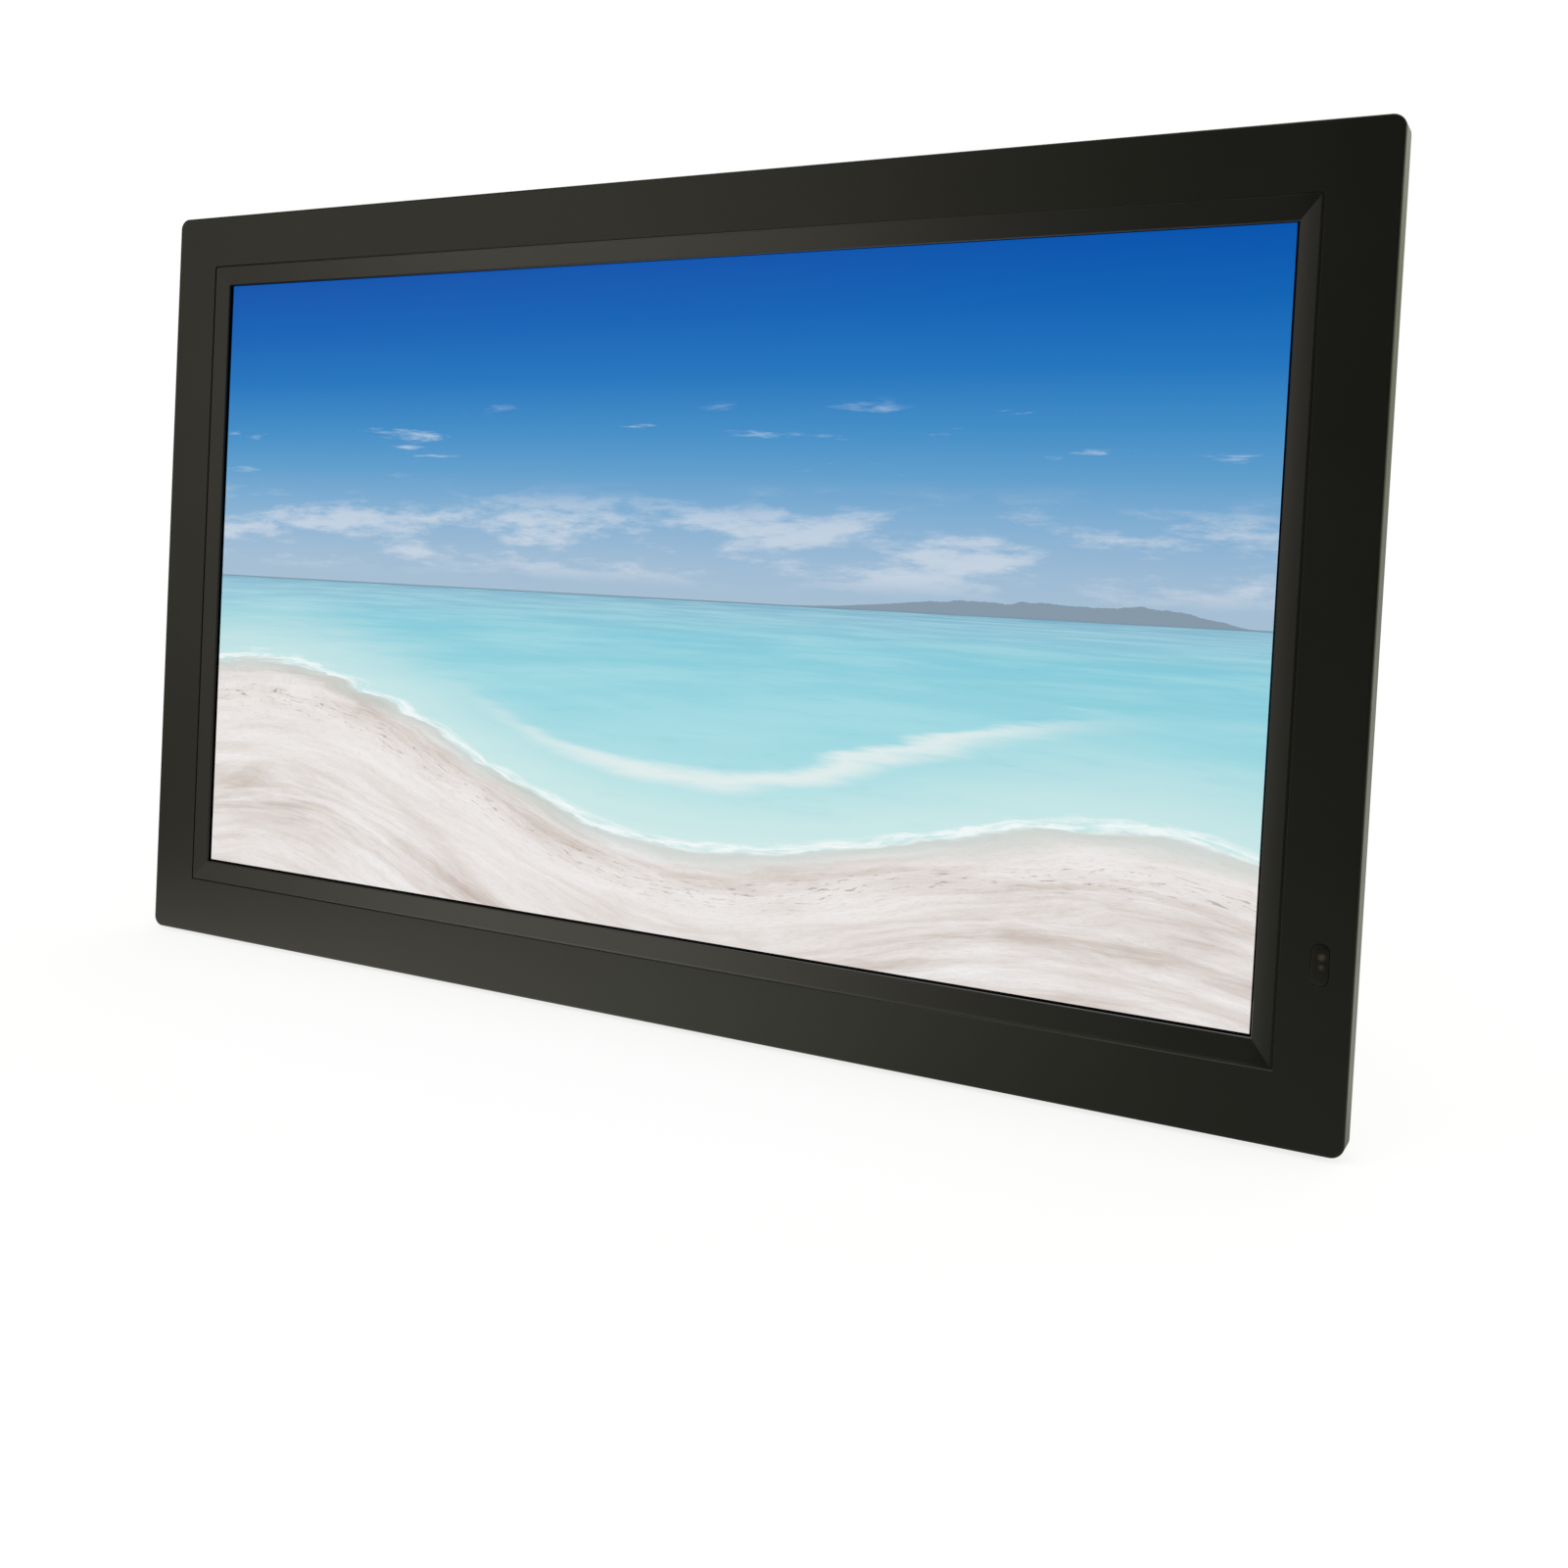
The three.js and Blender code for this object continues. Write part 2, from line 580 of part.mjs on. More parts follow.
// Sheet-steel tray with raised stiffening ribs across its back.
function backTray() {
  const pieces = [alongY(around(MODULE_BORDER_SIDE, 1), TRAY_Y, TRAY_Y + TRAY_T)];
  for (const z of [-1, 1].map((s) => SCREEN_Z + s * (SCREEN_H / 2 - TRAY_RIB_INSET))) {
    const shape = rect(SCREEN_W - 2 * TRAY_RIB_INSET, TRAY_RIB_W, TRAY_RIB_W / 2 - 0.01, 0, z);
    pieces.push(alongY(shape, TRAY_Y + TRAY_T - JOIN, TRAY_Y + TRAY_T + TRAY_RIB_T));
  }
  return solids(pieces);
}

// ---------------------------------------------------------------- rear cover
function coverShell() {
  const lip = SIDE_WALL + GAP;
  const outer = loft([
    inset(lip, CORNER_R - lip, COVER_Y - COVER_LIP_DEPTH),
    inset(lip, CORNER_R - lip, COVER_Y),
    inset(COVER_EDGE_INSET, CORNER_R - COVER_EDGE_INSET, COVER_Y),
    inset(COVER_EDGE_INSET + 0.3, CORNER_R - COVER_EDGE_INSET, COVER_Y + COVER_RIM),
    inset(SLOPE_START_INSET, CORNER_R + 2, SLOPE_START_Y),
    inset(SLOPE_END_INSET, BACK_CORNER_R, BACK_Y),
  ]);
  const inner = lip + COVER_LIP_T;
  const rise = (BACK_Y - SLOPE_START_Y) / (SLOPE_END_INSET - SLOPE_START_INSET);
  const hollow = loft([
    inset(inner, 0.6, COVER_Y - COVER_LIP_DEPTH - OVER),
    inset(inner, 0.6, SLOPE_START_Y - COVER_T + (inner - SLOPE_START_INSET) * rise),
    inset(SLOPE_END_INSET, BACK_CORNER_R - 2, BACK_Y - COVER_T),
  ]);
  const boxAt = (shrink, y) => ({
    w: BOX_W - 2 * shrink, h: BOX_H - 2 * shrink, r: BOX_CORNER_R - shrink, y, z: BOX_MID_Z,
  });
  const raised = loft([boxAt(0, BACK_Y - OVER), boxAt(0, BOX_Y - BOX_CHAMFER), boxAt(BOX_CHAMFER, BOX_Y)]);
  const boxHollow = loft([boxAt(BOX_WALL, BACK_Y - COVER_T - OVER), boxAt(BOX_WALL, BOX_Y - COVER_T)]);
  return cut(solid(outer).add(solid(raised)), hollow, boxHollow);
}

function tub(grow, y0, y1) {
  const h = TUB_TOP - TUB_BOTTOM;
  return alongY(rect(TUB_W + 2 * grow, h + 2 * grow, 3 + grow, 0, TUB_BOTTOM + h / 2), y0, y1);
}

function pillars() {
  const outside = SCREWS.map(([x, z]) => alongY(disc(PILLAR_R, x, z), COVER_Y, BACK_Y - 3, 5));
  const envelope = loft([
    inset(COVER_EDGE_INSET + 1.5, CORNER_R, COVER_Y - 0.5),
    inset(COVER_EDGE_INSET + 1.5, CORNER_R, COVER_Y + COVER_RIM),
    inset(SLOPE_START_INSET + 0.6, CORNER_R + 2, SLOPE_START_Y),
    inset(SLOPE_END_INSET, BACK_CORNER_R, BACK_Y),
  ]);
  return solids(outside).intersect(solid(envelope));
}

function screwHoles() {
  const seat = COVER_Y + SCREW_SEAT_T;
  return SCREWS.flatMap(([x, z]) => [
    alongY(disc(SCREW_R + GAP, x, z), COVER_Y - OVER, seat + OVER, 4),
    alongY(disc(SCREW_HEAD_R + HEAD_CLEAR, x, z), seat, BACK_Y + OVER, 5),
  ]);
}

function wallHoles() {
  const half = WALL_PATTERN / 2;
  return [-1, 1].flatMap((s) => [-1, 1].map((t) => [s * half, WALL_Z + t * half]));
}

function slotShape(length, width, x, z, upright) {
  const r = width / 2 - 0.01;
  return upright ? rect(width, length, r, x, z) : rect(length, width, r, x, z);
}

// Vents on the flat and on the box, and a round group of slots over each speaker.
function vents() {
  const slots = [];
  for (let k = 0; k < VENT_COUNT; k++) {
    const z = BUTTON_MID_Z + (k - (VENT_COUNT - 1) / 2) * VENT_PITCH;
    const shape = slotShape(FLAT_W - 2 * VENT_MARGIN, VENT_SLOT_W, -FLAT_X, z, false);
    slots.push(alongY(shape, BACK_Y - CUT_DEPTH, BACK_Y + OVER, 1));
  }
  for (let k = 0; k < TOP_VENT_COUNT; k++) {
    const x = (k - (TOP_VENT_COUNT - 1) / 2) * TOP_VENT_PITCH;
    const shape = slotShape(TOP_VENT_LENGTH, VENT_SLOT_W, x, BOX_TOP - TOP_VENT_DROP, true);
    slots.push(alongY(shape, BOX_Y - CUT_DEPTH, BOX_Y + OVER, 1));
  }
  for (const s of [-1, 1]) {
    for (let k = 0; k < GRILLE_SLOTS; k++) {
      const off = (k - (GRILLE_SLOTS - 1) / 2) * GRILLE_PITCH;
      const length = 2 * Math.sqrt(GRILLE_R ** 2 - off ** 2);
      const shape = slotShape(length, GRILLE_SLOT_W, s * SPEAKER_X, SPEAKER_Z + off, false);
      slots.push(alongY(shape, BOX_Y - CUT_DEPTH, BOX_Y + OVER, 1));
    }
  }
  return slots;
}

function buttonPlaces() {
  const mid = (BUTTON_NAMES.length - 1) / 2;
  return BUTTON_NAMES.map((name, k) => ({ name, z: BUTTON_MID_Z + (mid - k) * BUTTON_PITCH }));
}

function portY(port) {
  return BOARD_REAR_Y + GAP + port.h / 2;
}

// The openings in the box's lower wall, each a clearance larger than its socket.
function portHoles() {
  const deep = [BOX_BOTTOM - OVER, BOX_BOTTOM + BOX_WALL + OVER];
  const holes = [DC, AUDIO, HDMI, USB, CARD].map((p) =>
    alongZ(rect(p.w + 2 * GAP, p.h + 2 * GAP, 0.6, p.x, portY(p)), ...deep, 1));
  const travel = SWITCH.slot + 1;
  holes.push(alongZ(rect(travel, SWITCH.slotH + 2 * GAP, 0.6, SWITCH.x, portY(SWITCH)), ...deep, 1));
  return holes;
}

function rearCover() {
  const bosses = wallHoles().map(([x, z]) =>
    alongY(disc(INSERT_BOSS_R, x, z), BOX_Y - INSERT_LENGTH - 1.5, BOX_Y - OVER, 5));
  const shell = coverShell().add(pillars()).add(solid(tub(TUB_WALL, TUB_FLOOR_Y - TUB_WALL, BOX_Y - OVER)))
    .add(solids(bosses));
  const insertHoles = wallHoles().map(([x, z]) =>
    alongY(disc(INSERT_R + GAP, x, z), BOX_Y - INSERT_LENGTH - GAP, BOX_Y + OVER, 5));
  const keyHole = (z) => rect(BUTTON_W + 2 * GAP, BUTTON_H + 2 * GAP, 2, FLAT_X, z);
  const buttonHoles = buttonPlaces().map(({ z }) =>
    alongY(keyHole(z), BACK_Y - CUT_DEPTH, BACK_Y + OVER, 2));
  return cut(shell, tub(0, TUB_FLOOR_Y, BOX_Y + OVER), ...insertHoles, ...buttonHoles,
    ...screwHoles(), ...vents(), ...portHoles());
}

function coverScrew([x, z]) {
  const seat = COVER_Y + SCREW_SEAT_T + GAP;
  return solids([
    alongY(disc(SCREW_R, x, z), PLATE_T + SCREW_BITE + GAP, seat + JOIN, 4),
    alongY(disc(SCREW_HEAD_R, x, z), seat, seat + SCREW_HEAD_T, 5),
  ]);
}

function wallInsert([x, z]) {
  const body = solid(alongY(disc(INSERT_R, x, z), BOX_Y - INSERT_LENGTH, BOX_Y, 5));
  return cut(body, alongY(disc(INSERT_BORE_R, x, z), BOX_Y - INSERT_LENGTH + 1, BOX_Y + OVER, 5));
}

// ---------------------------------------------------------------- leg and hinge
// The leg is drawn folded, pointing up from the hinge axis at the origin.
function standLeg() {
  const half = LEG_T / 2;
  const end = LEG_REACH - PAD_LENGTH - GAP;
  const wide = LEG_NECK + 4; // where the leg reaches its full width
  const outline = polygon([
    [-BARREL_W / 2, 0], [BARREL_W / 2, 0], [BARREL_W / 2, LEG_NECK], [LEG_W / 2, wide],
    [LEG_TIP_W / 2, end], [-LEG_TIP_W / 2, end], [-LEG_W / 2, wide], [-BARREL_W / 2, LEG_NECK],
  ]);
  const plate = alongY(outline, -half, half);
  const barrel = alongX(disc(BARREL_R), -BARREL_W / 2, BARREL_W / 2, 8);
  const heel = block(-BARREL_W / 2, BARREL_W / 2, -BARREL_R, 0, -BARREL_R, 0).rotateX(LEG_OPEN);
  const body = solids([plate, barrel, heel]);
  const taper = (z) => THREE.MathUtils.mapLinear(z, wide, end, LEG_W / 2, LEG_TIP_W / 2);
  const [p0, p1] = [LEG_NECK + 6, end - LEG_NOTCH_DEPTH - 4];
  const pocketSide = (z) => taper(z) - LEG_SHELL;
  const pocket = alongY(polygon([
    [-pocketSide(p0), p0], [pocketSide(p0), p0], [pocketSide(p1), p1], [-pocketSide(p1), p1],
  ]), -half - OVER, half - LEG_SHELL);
  const ribs = [];
  for (let k = 1; k <= LEG_RIBS; k++) {
    const z = p0 + ((p1 - p0) * k) / (LEG_RIBS + 1);
    ribs.push(block(-taper(z) + 0.6, taper(z) - 0.6, -half, half - 0.5, z - 0.8, z + 0.8));
  }
  for (const x of [-LEG_TRUSS_X, LEG_TRUSS_X]) {
    ribs.push(block(x - 0.8, x + 0.8, -half, half - 0.5, p0 - 1, p1 + 1));
  }
  const notch = alongY(rect(LEG_NOTCH_W, 2 * LEG_NOTCH_DEPTH, 4, 0, end), -half - OVER, half + OVER, 3);
  const bore = alongX(disc(PIN_R + GAP), -BARREL_W, BARREL_W, 6);
  const spigots = [-1, 1].map((s) => padSpigot(s, end, 0));
  return cut(cut(body, pocket).add(solids(ribs)).add(solids(spigots)), notch, bore);
}

function padX(s) {
  return s * (LEG_NOTCH_W / 2 + LEG_TIP_W / 2) / 2;
}

// The tongue at the leg's end that a rubber pad pushes over.
function padSpigot(s, end, grow) {
  const x = padX(s);
  const [w, t] = [SPIGOT_W / 2 + grow, SPIGOT_T / 2 + grow];
  return block(x - w, x + w, -t, t, end - 1, end + PAD_LENGTH / 2 + grow);
}

// A rubber pad on the leg's end, cut level with the table when the leg stands open.
function legPad(s) {
  const end = LEG_REACH - PAD_LENGTH;
  const half = LEG_T / 2;
  const sole = (y) => LEG_REACH - y / Math.tan(LEG_SLOPE);
  const width = (LEG_TIP_W - LEG_NOTCH_W) / 2;
  const [x0, x1] = [padX(s) - width / 2, padX(s) + width / 2];
  const side = polygon([[-half, end], [half, end], [half, sole(half)], [-half, sole(-half)]]);
  return cut(solid(alongX(side, x0, x1)), padSpigot(s, end - GAP, GAP));
}

// Folded sheet bracket on the tub's floor with two lugs that carry the pin.
function legBracket() {
  const y0 = TUB_FLOOR_Y + GAP;
  const z = HINGE_Z;
  const width = BARREL_W + 2 * (WASHER_T + LUG_T + 2 * GAP);
  const base = block(-width / 2, width / 2, y0, y0 + BRACKET_T, z - BRACKET_H / 2, z + BRACKET_H / 2);
  const lugs = [-1, 1].flatMap((s) => {
    const [a, b] = [width / 2 - LUG_T, width / 2].map((x) => s * x);
    const [x0, x1] = [Math.min(a, b), Math.max(a, b)];
    return [
      alongX(disc(LUG_R, HINGE_Y, z), x0, x1, 6),
      block(x0, x1, y0 + BRACKET_T / 2, HINGE_Y, z - LUG_R, z + LUG_R),
    ];
  });
  const bore = alongX(disc(PIN_R + GAP, HINGE_Y, z), -width, width, 6);
  return cut(solids([base, ...lugs]), bore);
}

function hingeWasher(s) {
  const from = BARREL_W / 2 + GAP;
  const [x0, x1] = s > 0 ? [from, from + WASHER_T] : [-from - WASHER_T, -from];
  const ring = disc(WASHER_R, HINGE_Y, HINGE_Z);
  ring.holes.push(new THREE.Path().absarc(HINGE_Y, HINGE_Z, PIN_R + GAP, 0, 2 * Math.PI, true));
  return alongX(ring, x0, x1, 6);
}

function hingePin() {
  const reach = BARREL_W / 2 + WASHER_T + LUG_T + 3 * GAP;
  return solids([
    alongX(disc(PIN_R, HINGE_Y, HINGE_Z), -reach - 1, reach + 1, 6),
    alongX(disc(PIN_HEAD_R, HINGE_Y, HINGE_Z), reach, reach + PIN_HEAD_T, 6),
    alongX(disc(PIN_HEAD_R, HINGE_Y, HINGE_Z), -reach - PIN_HEAD_T, -reach, 6),
  ]);
}

// ---------------------------------------------------------------- infrared window
function irWindow() {
  return solids([
    alongY(stadium(0), IR_SUNK, PLATE_T + GAP + IR_FLANGE_T, 4),
    alongY(stadium(IR_FLANGE), PLATE_T + GAP, PLATE_T + GAP + IR_FLANGE_T, 4),
  ]);
}

// A part on the infrared board: a square body with a round nose towards the window.
function noseOnBoard(radius, body, z) {
  const tip = PLATE_T + IR_FLANGE_T + 2 * GAP;
  const back = IR_BOARD_Y - GAP;
  const profile = [new THREE.Vector2(0, 0)];
  for (let k = 1; k <= 4; k++) {
    const a = (k / 4) * (Math.PI / 2);
    profile.push(new THREE.Vector2(radius * Math.sin(a), radius * (1 - Math.cos(a))));
  }
  profile.push(new THREE.Vector2(radius, back - tip - 0.5), new THREE.Vector2(0, back - tip - 0.5));
  const nose = new THREE.LatheGeometry(profile, 12).translate(IR_X, tip, z);
  return solids([nose, block(IR_X - body, IR_X + body, back - 1.2, back, z - body, z + body)]);
}

function irBoard() {
  const x0 = IR_X - IR_BOARD_W / 2 - 0.8;
  const [z0, z1] = [IR_Z - IR_BOARD_H / 2, IR_Z + IR_BOARD_H / 2];
  return block(x0, x0 + IR_BOARD_W, IR_BOARD_Y, IR_BOARD_Y + IR_BOARD_T, z0, z1);
}

// ---------------------------------------------------------------- boards
function mainBoard() {
  const y = BOARD_REAR_Y;
  const board = solid(alongY(rect(BOARD_W, BOARD_H, 2, 0, BOARD_BOTTOM + BOARD_H / 2), y - BOARD_T, y));
  return cut(board, ...[-1, 1].flatMap((s) => [6, BOARD_H - 6].map((z) =>
    alongY(disc(1.7, s * (BOARD_W / 2 - 6), BOARD_BOTTOM + z), y - BOARD_T - OVER, y + OVER, 5))));
}

function mainChip() {
  const y = BOARD_REAR_Y + GAP;
  const half = CHIP_W / 2;
  return block(CHIP_X - half, CHIP_X + half, y, y + CHIP_T, CHIP_Z - half, CHIP_Z + half);
}

function heatSink() {
  const y = BOARD_REAR_Y + CHIP_T + 2 * GAP;
  const half = SINK_W / 2;
  const pieces = [block(CHIP_X - half, CHIP_X + half, y, y + SINK_BASE_T, CHIP_Z - half, CHIP_Z + half)];
  for (let k = 0; k < SINK_FINS; k++) {
    const x = CHIP_X - half + SINK_FIN_T / 2 + (k / (SINK_FINS - 1)) * (SINK_W - SINK_FIN_T);
    pieces.push(block(x - SINK_FIN_T / 2, x + SINK_FIN_T / 2, y + SINK_BASE_T - JOIN,
      y + SINK_BASE_T + SINK_FIN_H, CHIP_Z - half, CHIP_Z + half));
  }
  return solids(pieces);
}

function timingBoard() {
  const y = TRAY_Y + TRAY_T + TRAY_RIB_T + GAP;
  const half = TIMING_W / 2;
  return block(-half, half, y, y + BOARD_T, TIMING_Z - TIMING_H / 2, TIMING_Z + TIMING_H / 2);
}

// Flat ribbon from the timing board down to the main board, in one S bend.
function ribbonCable() {
  const y0 = TRAY_Y + TRAY_T + TRAY_RIB_T + GAP + BOARD_T + GAP;
  const y1 = BOARD_REAR_Y - BOARD_T - GAP - RIBBON_T;
  const top = TIMING_Z;
  const low = BOARD_BOTTOM + BOARD_H - RIBBON_LAP;
  const bend = [
    new THREE.Vector3(0, y0, top), new THREE.Vector3(0, y0, top - RIBBON_BEND),
    new THREE.Vector3(0, y1, low + RIBBON_BEND), new THREE.Vector3(0, y1, low),
  ];
  const mids = new THREE.CubicBezierCurve3(...bend).getSpacedPoints(14);
  const front = mids.map((p) => [p.y, p.z]);
  const rear = mids.map((p) => [p.y + RIBBON_T, p.z]).reverse();
  return alongX(polygon([...front, ...rear]), RIBBON_X - RIBBON_W / 2, RIBBON_X + RIBBON_W / 2);
}

function keyBoard() {
  const y = keyBoardY();
  const span = (BUTTON_NAMES.length - 1) * BUTTON_PITCH + 2 * KEY_SWITCH;
  const pieces = [block(FLAT_X - KEY_BOARD_W / 2, FLAT_X + KEY_BOARD_W / 2, y - 1.2, y,
    BUTTON_MID_Z - span / 2, BUTTON_MID_Z + span / 2)];
  for (const { z } of buttonPlaces()) {
    const half = KEY_SWITCH / 2;
    pieces.push(block(FLAT_X - half, FLAT_X + half, y - JOIN, y + KEY_SWITCH_T, z - half, z + half));
  }
  return solids(pieces);
}

function keyBoardY() {
  return BACK_Y - COVER_T - GAP - BUTTON_FLANGE_T - BUTTON_TRAVEL - GAP - KEY_SWITCH_T;
}

function keyButton(z) {
  const under = BACK_Y - COVER_T - GAP;
  const crown = BACK_Y + BUTTON_PROUD;
  const cap = loft([
    { w: BUTTON_W, h: BUTTON_H, r: 1.8, y: under - JOIN, z: 0 },
    { w: BUTTON_W, h: BUTTON_H, r: 1.8, y: crown - 0.5, z: 0 },
    { w: BUTTON_W - 1, h: BUTTON_H - 1, r: 1.4, y: crown, z: 0 },
  ], 3);
  const flange = alongY(rect(BUTTON_W + 2 * BUTTON_FLANGE, BUTTON_H + 2 * BUTTON_FLANGE, 1),
    under - BUTTON_FLANGE_T, under);
  return solids([cap, flange]).translate([FLAT_X, 0, z]);
}

// ---------------------------------------------------------------- speakers
function speaker(s) {
  const rear = BOX_Y - COVER_T - GAP;
  const x = s * SPEAKER_X;
  const body = solid(alongY(rect(SPEAKER_W, SPEAKER_H, 5, x, SPEAKER_Z), rear - 2, rear, 3));
  const magnet = alongY(disc(SPEAKER_CONE_R - 3, x, SPEAKER_Z), rear - SPEAKER_DEPTH, rear - 1.5, 6);
  const cone = [
    new THREE.Vector2(0, 0), new THREE.Vector2(4, 0.3), new THREE.Vector2(SPEAKER_CONE_R - 1, 1.4),
    new THREE.Vector2(SPEAKER_CONE_R, 2.4), new THREE.Vector2(0, 2.4),
  ];
  const dish = new THREE.LatheGeometry(cone, 16).translate(x, rear - 1.6, SPEAKER_Z);
  return cut(body.add(solid(magnet)), dish);
}

// ---------------------------------------------------------------- sockets
function socket(p, height = p.h) {
  const low = BOX_BOTTOM + PORT_SUNK;
  return alongZ(rect(p.w, height, 0.4, p.x, portY(p)), low, low + p.depth, 1);
}

function dcJack() {
  const low = BOX_BOTTOM + PORT_SUNK;
  const bore = alongZ(disc(DC.bore, DC.x, portY(DC)), low - OVER, low + DC.depth - 3, 6);
  const pin = alongZ(disc(DC.pin, DC.x, portY(DC)), low + 1, low + DC.depth - 2, 4);
  return cut(solid(socket(DC)), bore).add(solid(pin));
}

function audioJack() {
  const low = BOX_BOTTOM + PORT_SUNK;
  const bore = disc(AUDIO.bore, AUDIO.x, portY(AUDIO));
  return cut(solid(socket(AUDIO)), alongZ(bore, low - OVER, low + AUDIO.depth - 2, 5));
}

// A shell with a rectangular mouth and a contact tongue inside it.
function plugSocket(p) {
  const low = BOX_BOTTOM + PORT_SUNK;
  const deep = low + p.depth - 2;
  const mouth = alongZ(rect(p.mouthW, p.mouthH, 0, p.x, portY(p)), low - OVER, deep);
  const tongue = alongZ(rect(p.tongueW, p.tongueT, 0, p.x, portY(p)), low + 1.5, deep + 1);
  return cut(solid(socket(p)), mouth).add(solid(tongue));
}

function cardSlot() {
  const low = BOX_BOTTOM + PORT_SUNK;
  const mouth = rect(CARD.mouthW, CARD.mouthH, 0, CARD.x, portY(CARD));
  return cut(solid(socket(CARD)), alongZ(mouth, low - OVER, low + CARD.mouthDepth));
}

function switchBody() {
  const low = BOX_BOTTOM + BOX_WALL + GAP;
  const y = portY(SWITCH);
  const body = solid(alongZ(rect(SWITCH.w, SWITCH.h, 0.3, SWITCH.x, y), low, low + SWITCH.depth, 1));
  return cut(body, alongZ(rect(SWITCH.slot, SWITCH.slotH, 0, SWITCH.x, y), low - OVER, low + 4));
}

function switchKnob() {
  const start = SWITCH.x - SWITCH.slot / 2 + SWITCH.knob / 2 + GAP / 2;
  const [z0, z1] = [BOX_BOTTOM - SWITCH_PROUD, BOX_BOTTOM + BOX_WALL + GAP + 4 - GAP];
  return alongZ(rect(SWITCH.knob, SWITCH.knobH, 0.4, start, portY(SWITCH)), z0, z1, 1);
}

// ---------------------------------------------------------------- assembly
place('front_frame', frontFrame(), BLACK_PLASTIC);
place('bevel_ring', bevelRing(), BEVEL_PLASTIC);
place('lcd_cell', lcdCell(), PICTURE);
place('module_bezel', steelBezel(), STEEL);
place('module_mid_frame', midFrame(), KEY_PLASTIC);
place('prism_sheet', film(FILM_Y), DIFFUSER);
place('diffuser_sheet', film(FILM_Y + FILM_T + GAP), DIFFUSER);
place('light_guide', lightGuide(), CLEAR_GUIDE);
place('led_strip', ledStrip(), ALUMINIUM);
place('reflector_sheet', film(REFLECTOR_Y), FILM_WHITE);
place('module_back_tray', backTray(), STEEL);
place('rear_cover', rearCover(), REAR_PLASTIC);
SCREWS.forEach((at, k) => place('cover_screw_' + (k + 1), coverScrew(at), STEEL));
wallHoles().forEach((at, k) => place('wall_insert_' + (k + 1), wallInsert(at), BRASS));
place('foot_left', rubberFoot(-FOOT_X), RUBBER);
place('foot_right', rubberFoot(FOOT_X), RUBBER);
place('ir_window', irWindow(), SMOKED);
place('ir_receiver', noseOnBoard(RECEIVER_R, 1.4, RECEIVER_Z), CHIP_BLACK);
place('indicator_led', noseOnBoard(LED_R, 1, LED_Z), FILM_WHITE);
place('ir_board', irBoard(), BOARD_GREEN);
place('main_board', mainBoard(), BOARD_GREEN);
place('main_chip', mainChip(), CHIP_BLACK);
place('heat_sink', heatSink(), ALUMINIUM);
place('timing_board', timingBoard(), BOARD_GREEN);
place('ribbon_cable', ribbonCable(), FILM_WHITE);
place('key_board', keyBoard(), BOARD_GREEN);
for (const { name, z } of buttonPlaces()) {
  place(name + '_button', keyButton(z), KEY_PLASTIC);
}
place('speaker_left', speaker(-1), CHIP_BLACK);
place('speaker_right', speaker(1), CHIP_BLACK);
place('dc_jack', dcJack(), CHIP_BLACK);
place('audio_jack', audioJack(), CHIP_BLACK);
place('hdmi_socket', plugSocket(HDMI), STEEL);
place('usb_socket', plugSocket(USB), STEEL);
place('card_slot', cardSlot(), STEEL);
place('switch_body', switchBody(), CHIP_BLACK);
place('switch_knob', switchKnob(), KEY_PLASTIC);
place('leg_bracket', legBracket(), STEEL);
place('hinge_pin', hingePin(), STEEL);
place('hinge_washer_left', hingeWasher(-1), STEEL);
place('hinge_washer_right', hingeWasher(1), STEEL);

const leg = new THREE.Group();
leg.position.set(0, HINGE_Y, HINGE_Z);
leg.rotation.x = -LEG_OPEN;
panel.add(leg);
place('stand_leg', standLeg(), REAR_PLASTIC, leg);
place('leg_pad_left', legPad(-1), RUBBER, leg);
place('leg_pad_right', legPad(1), RUBBER, leg);

panel.rotation.x = -LEAN;

// The origin is on the table, at the middle of the standing frame's footprint.
const photoFrame = new THREE.Group();
photoFrame.add(panel);
photoFrame.updateMatrixWorld(true);
const box = new THREE.Box3().setFromObject(photoFrame, true);
panel.position.set(0, -(box.min.y + box.max.y) / 2, -box.min.z);

export default photoFrame;
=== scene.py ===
"""A digital photo frame standing on its kick-stand: mouldings, finishes, light and camera.

Shapes are worked out in millimetres in the panel's own frame, where x runs to the right, y back
from the front face and z up from the lower edge. IN_WORLD leans them back and turns them into metres.
"""
import json

import bmesh
import bpy
import numpy as np
from mathutils import Matrix, Vector


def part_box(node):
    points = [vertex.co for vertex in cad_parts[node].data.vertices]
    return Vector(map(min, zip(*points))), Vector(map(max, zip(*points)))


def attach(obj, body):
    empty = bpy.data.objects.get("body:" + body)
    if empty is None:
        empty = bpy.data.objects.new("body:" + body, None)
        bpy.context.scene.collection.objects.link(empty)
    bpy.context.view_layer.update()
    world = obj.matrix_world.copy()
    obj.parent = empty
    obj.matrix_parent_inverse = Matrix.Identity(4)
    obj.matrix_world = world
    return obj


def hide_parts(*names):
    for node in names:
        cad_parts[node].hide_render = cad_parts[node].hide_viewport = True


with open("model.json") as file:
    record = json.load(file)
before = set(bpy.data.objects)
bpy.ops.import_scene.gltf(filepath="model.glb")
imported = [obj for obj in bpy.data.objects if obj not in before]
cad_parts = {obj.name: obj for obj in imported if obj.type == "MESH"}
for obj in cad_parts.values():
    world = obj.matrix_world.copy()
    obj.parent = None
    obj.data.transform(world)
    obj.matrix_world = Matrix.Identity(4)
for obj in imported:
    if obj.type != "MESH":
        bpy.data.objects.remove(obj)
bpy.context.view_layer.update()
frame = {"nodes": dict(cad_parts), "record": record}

# ---------------------------------------------------------------- sizes, in mm
LEAN = np.radians(6)
GAP = 0.3  # clearance round what is put in or moves
OVER = 1.0  # how far a cutter reaches past the skin
WELD = 2e-3  # points closer than this are merged
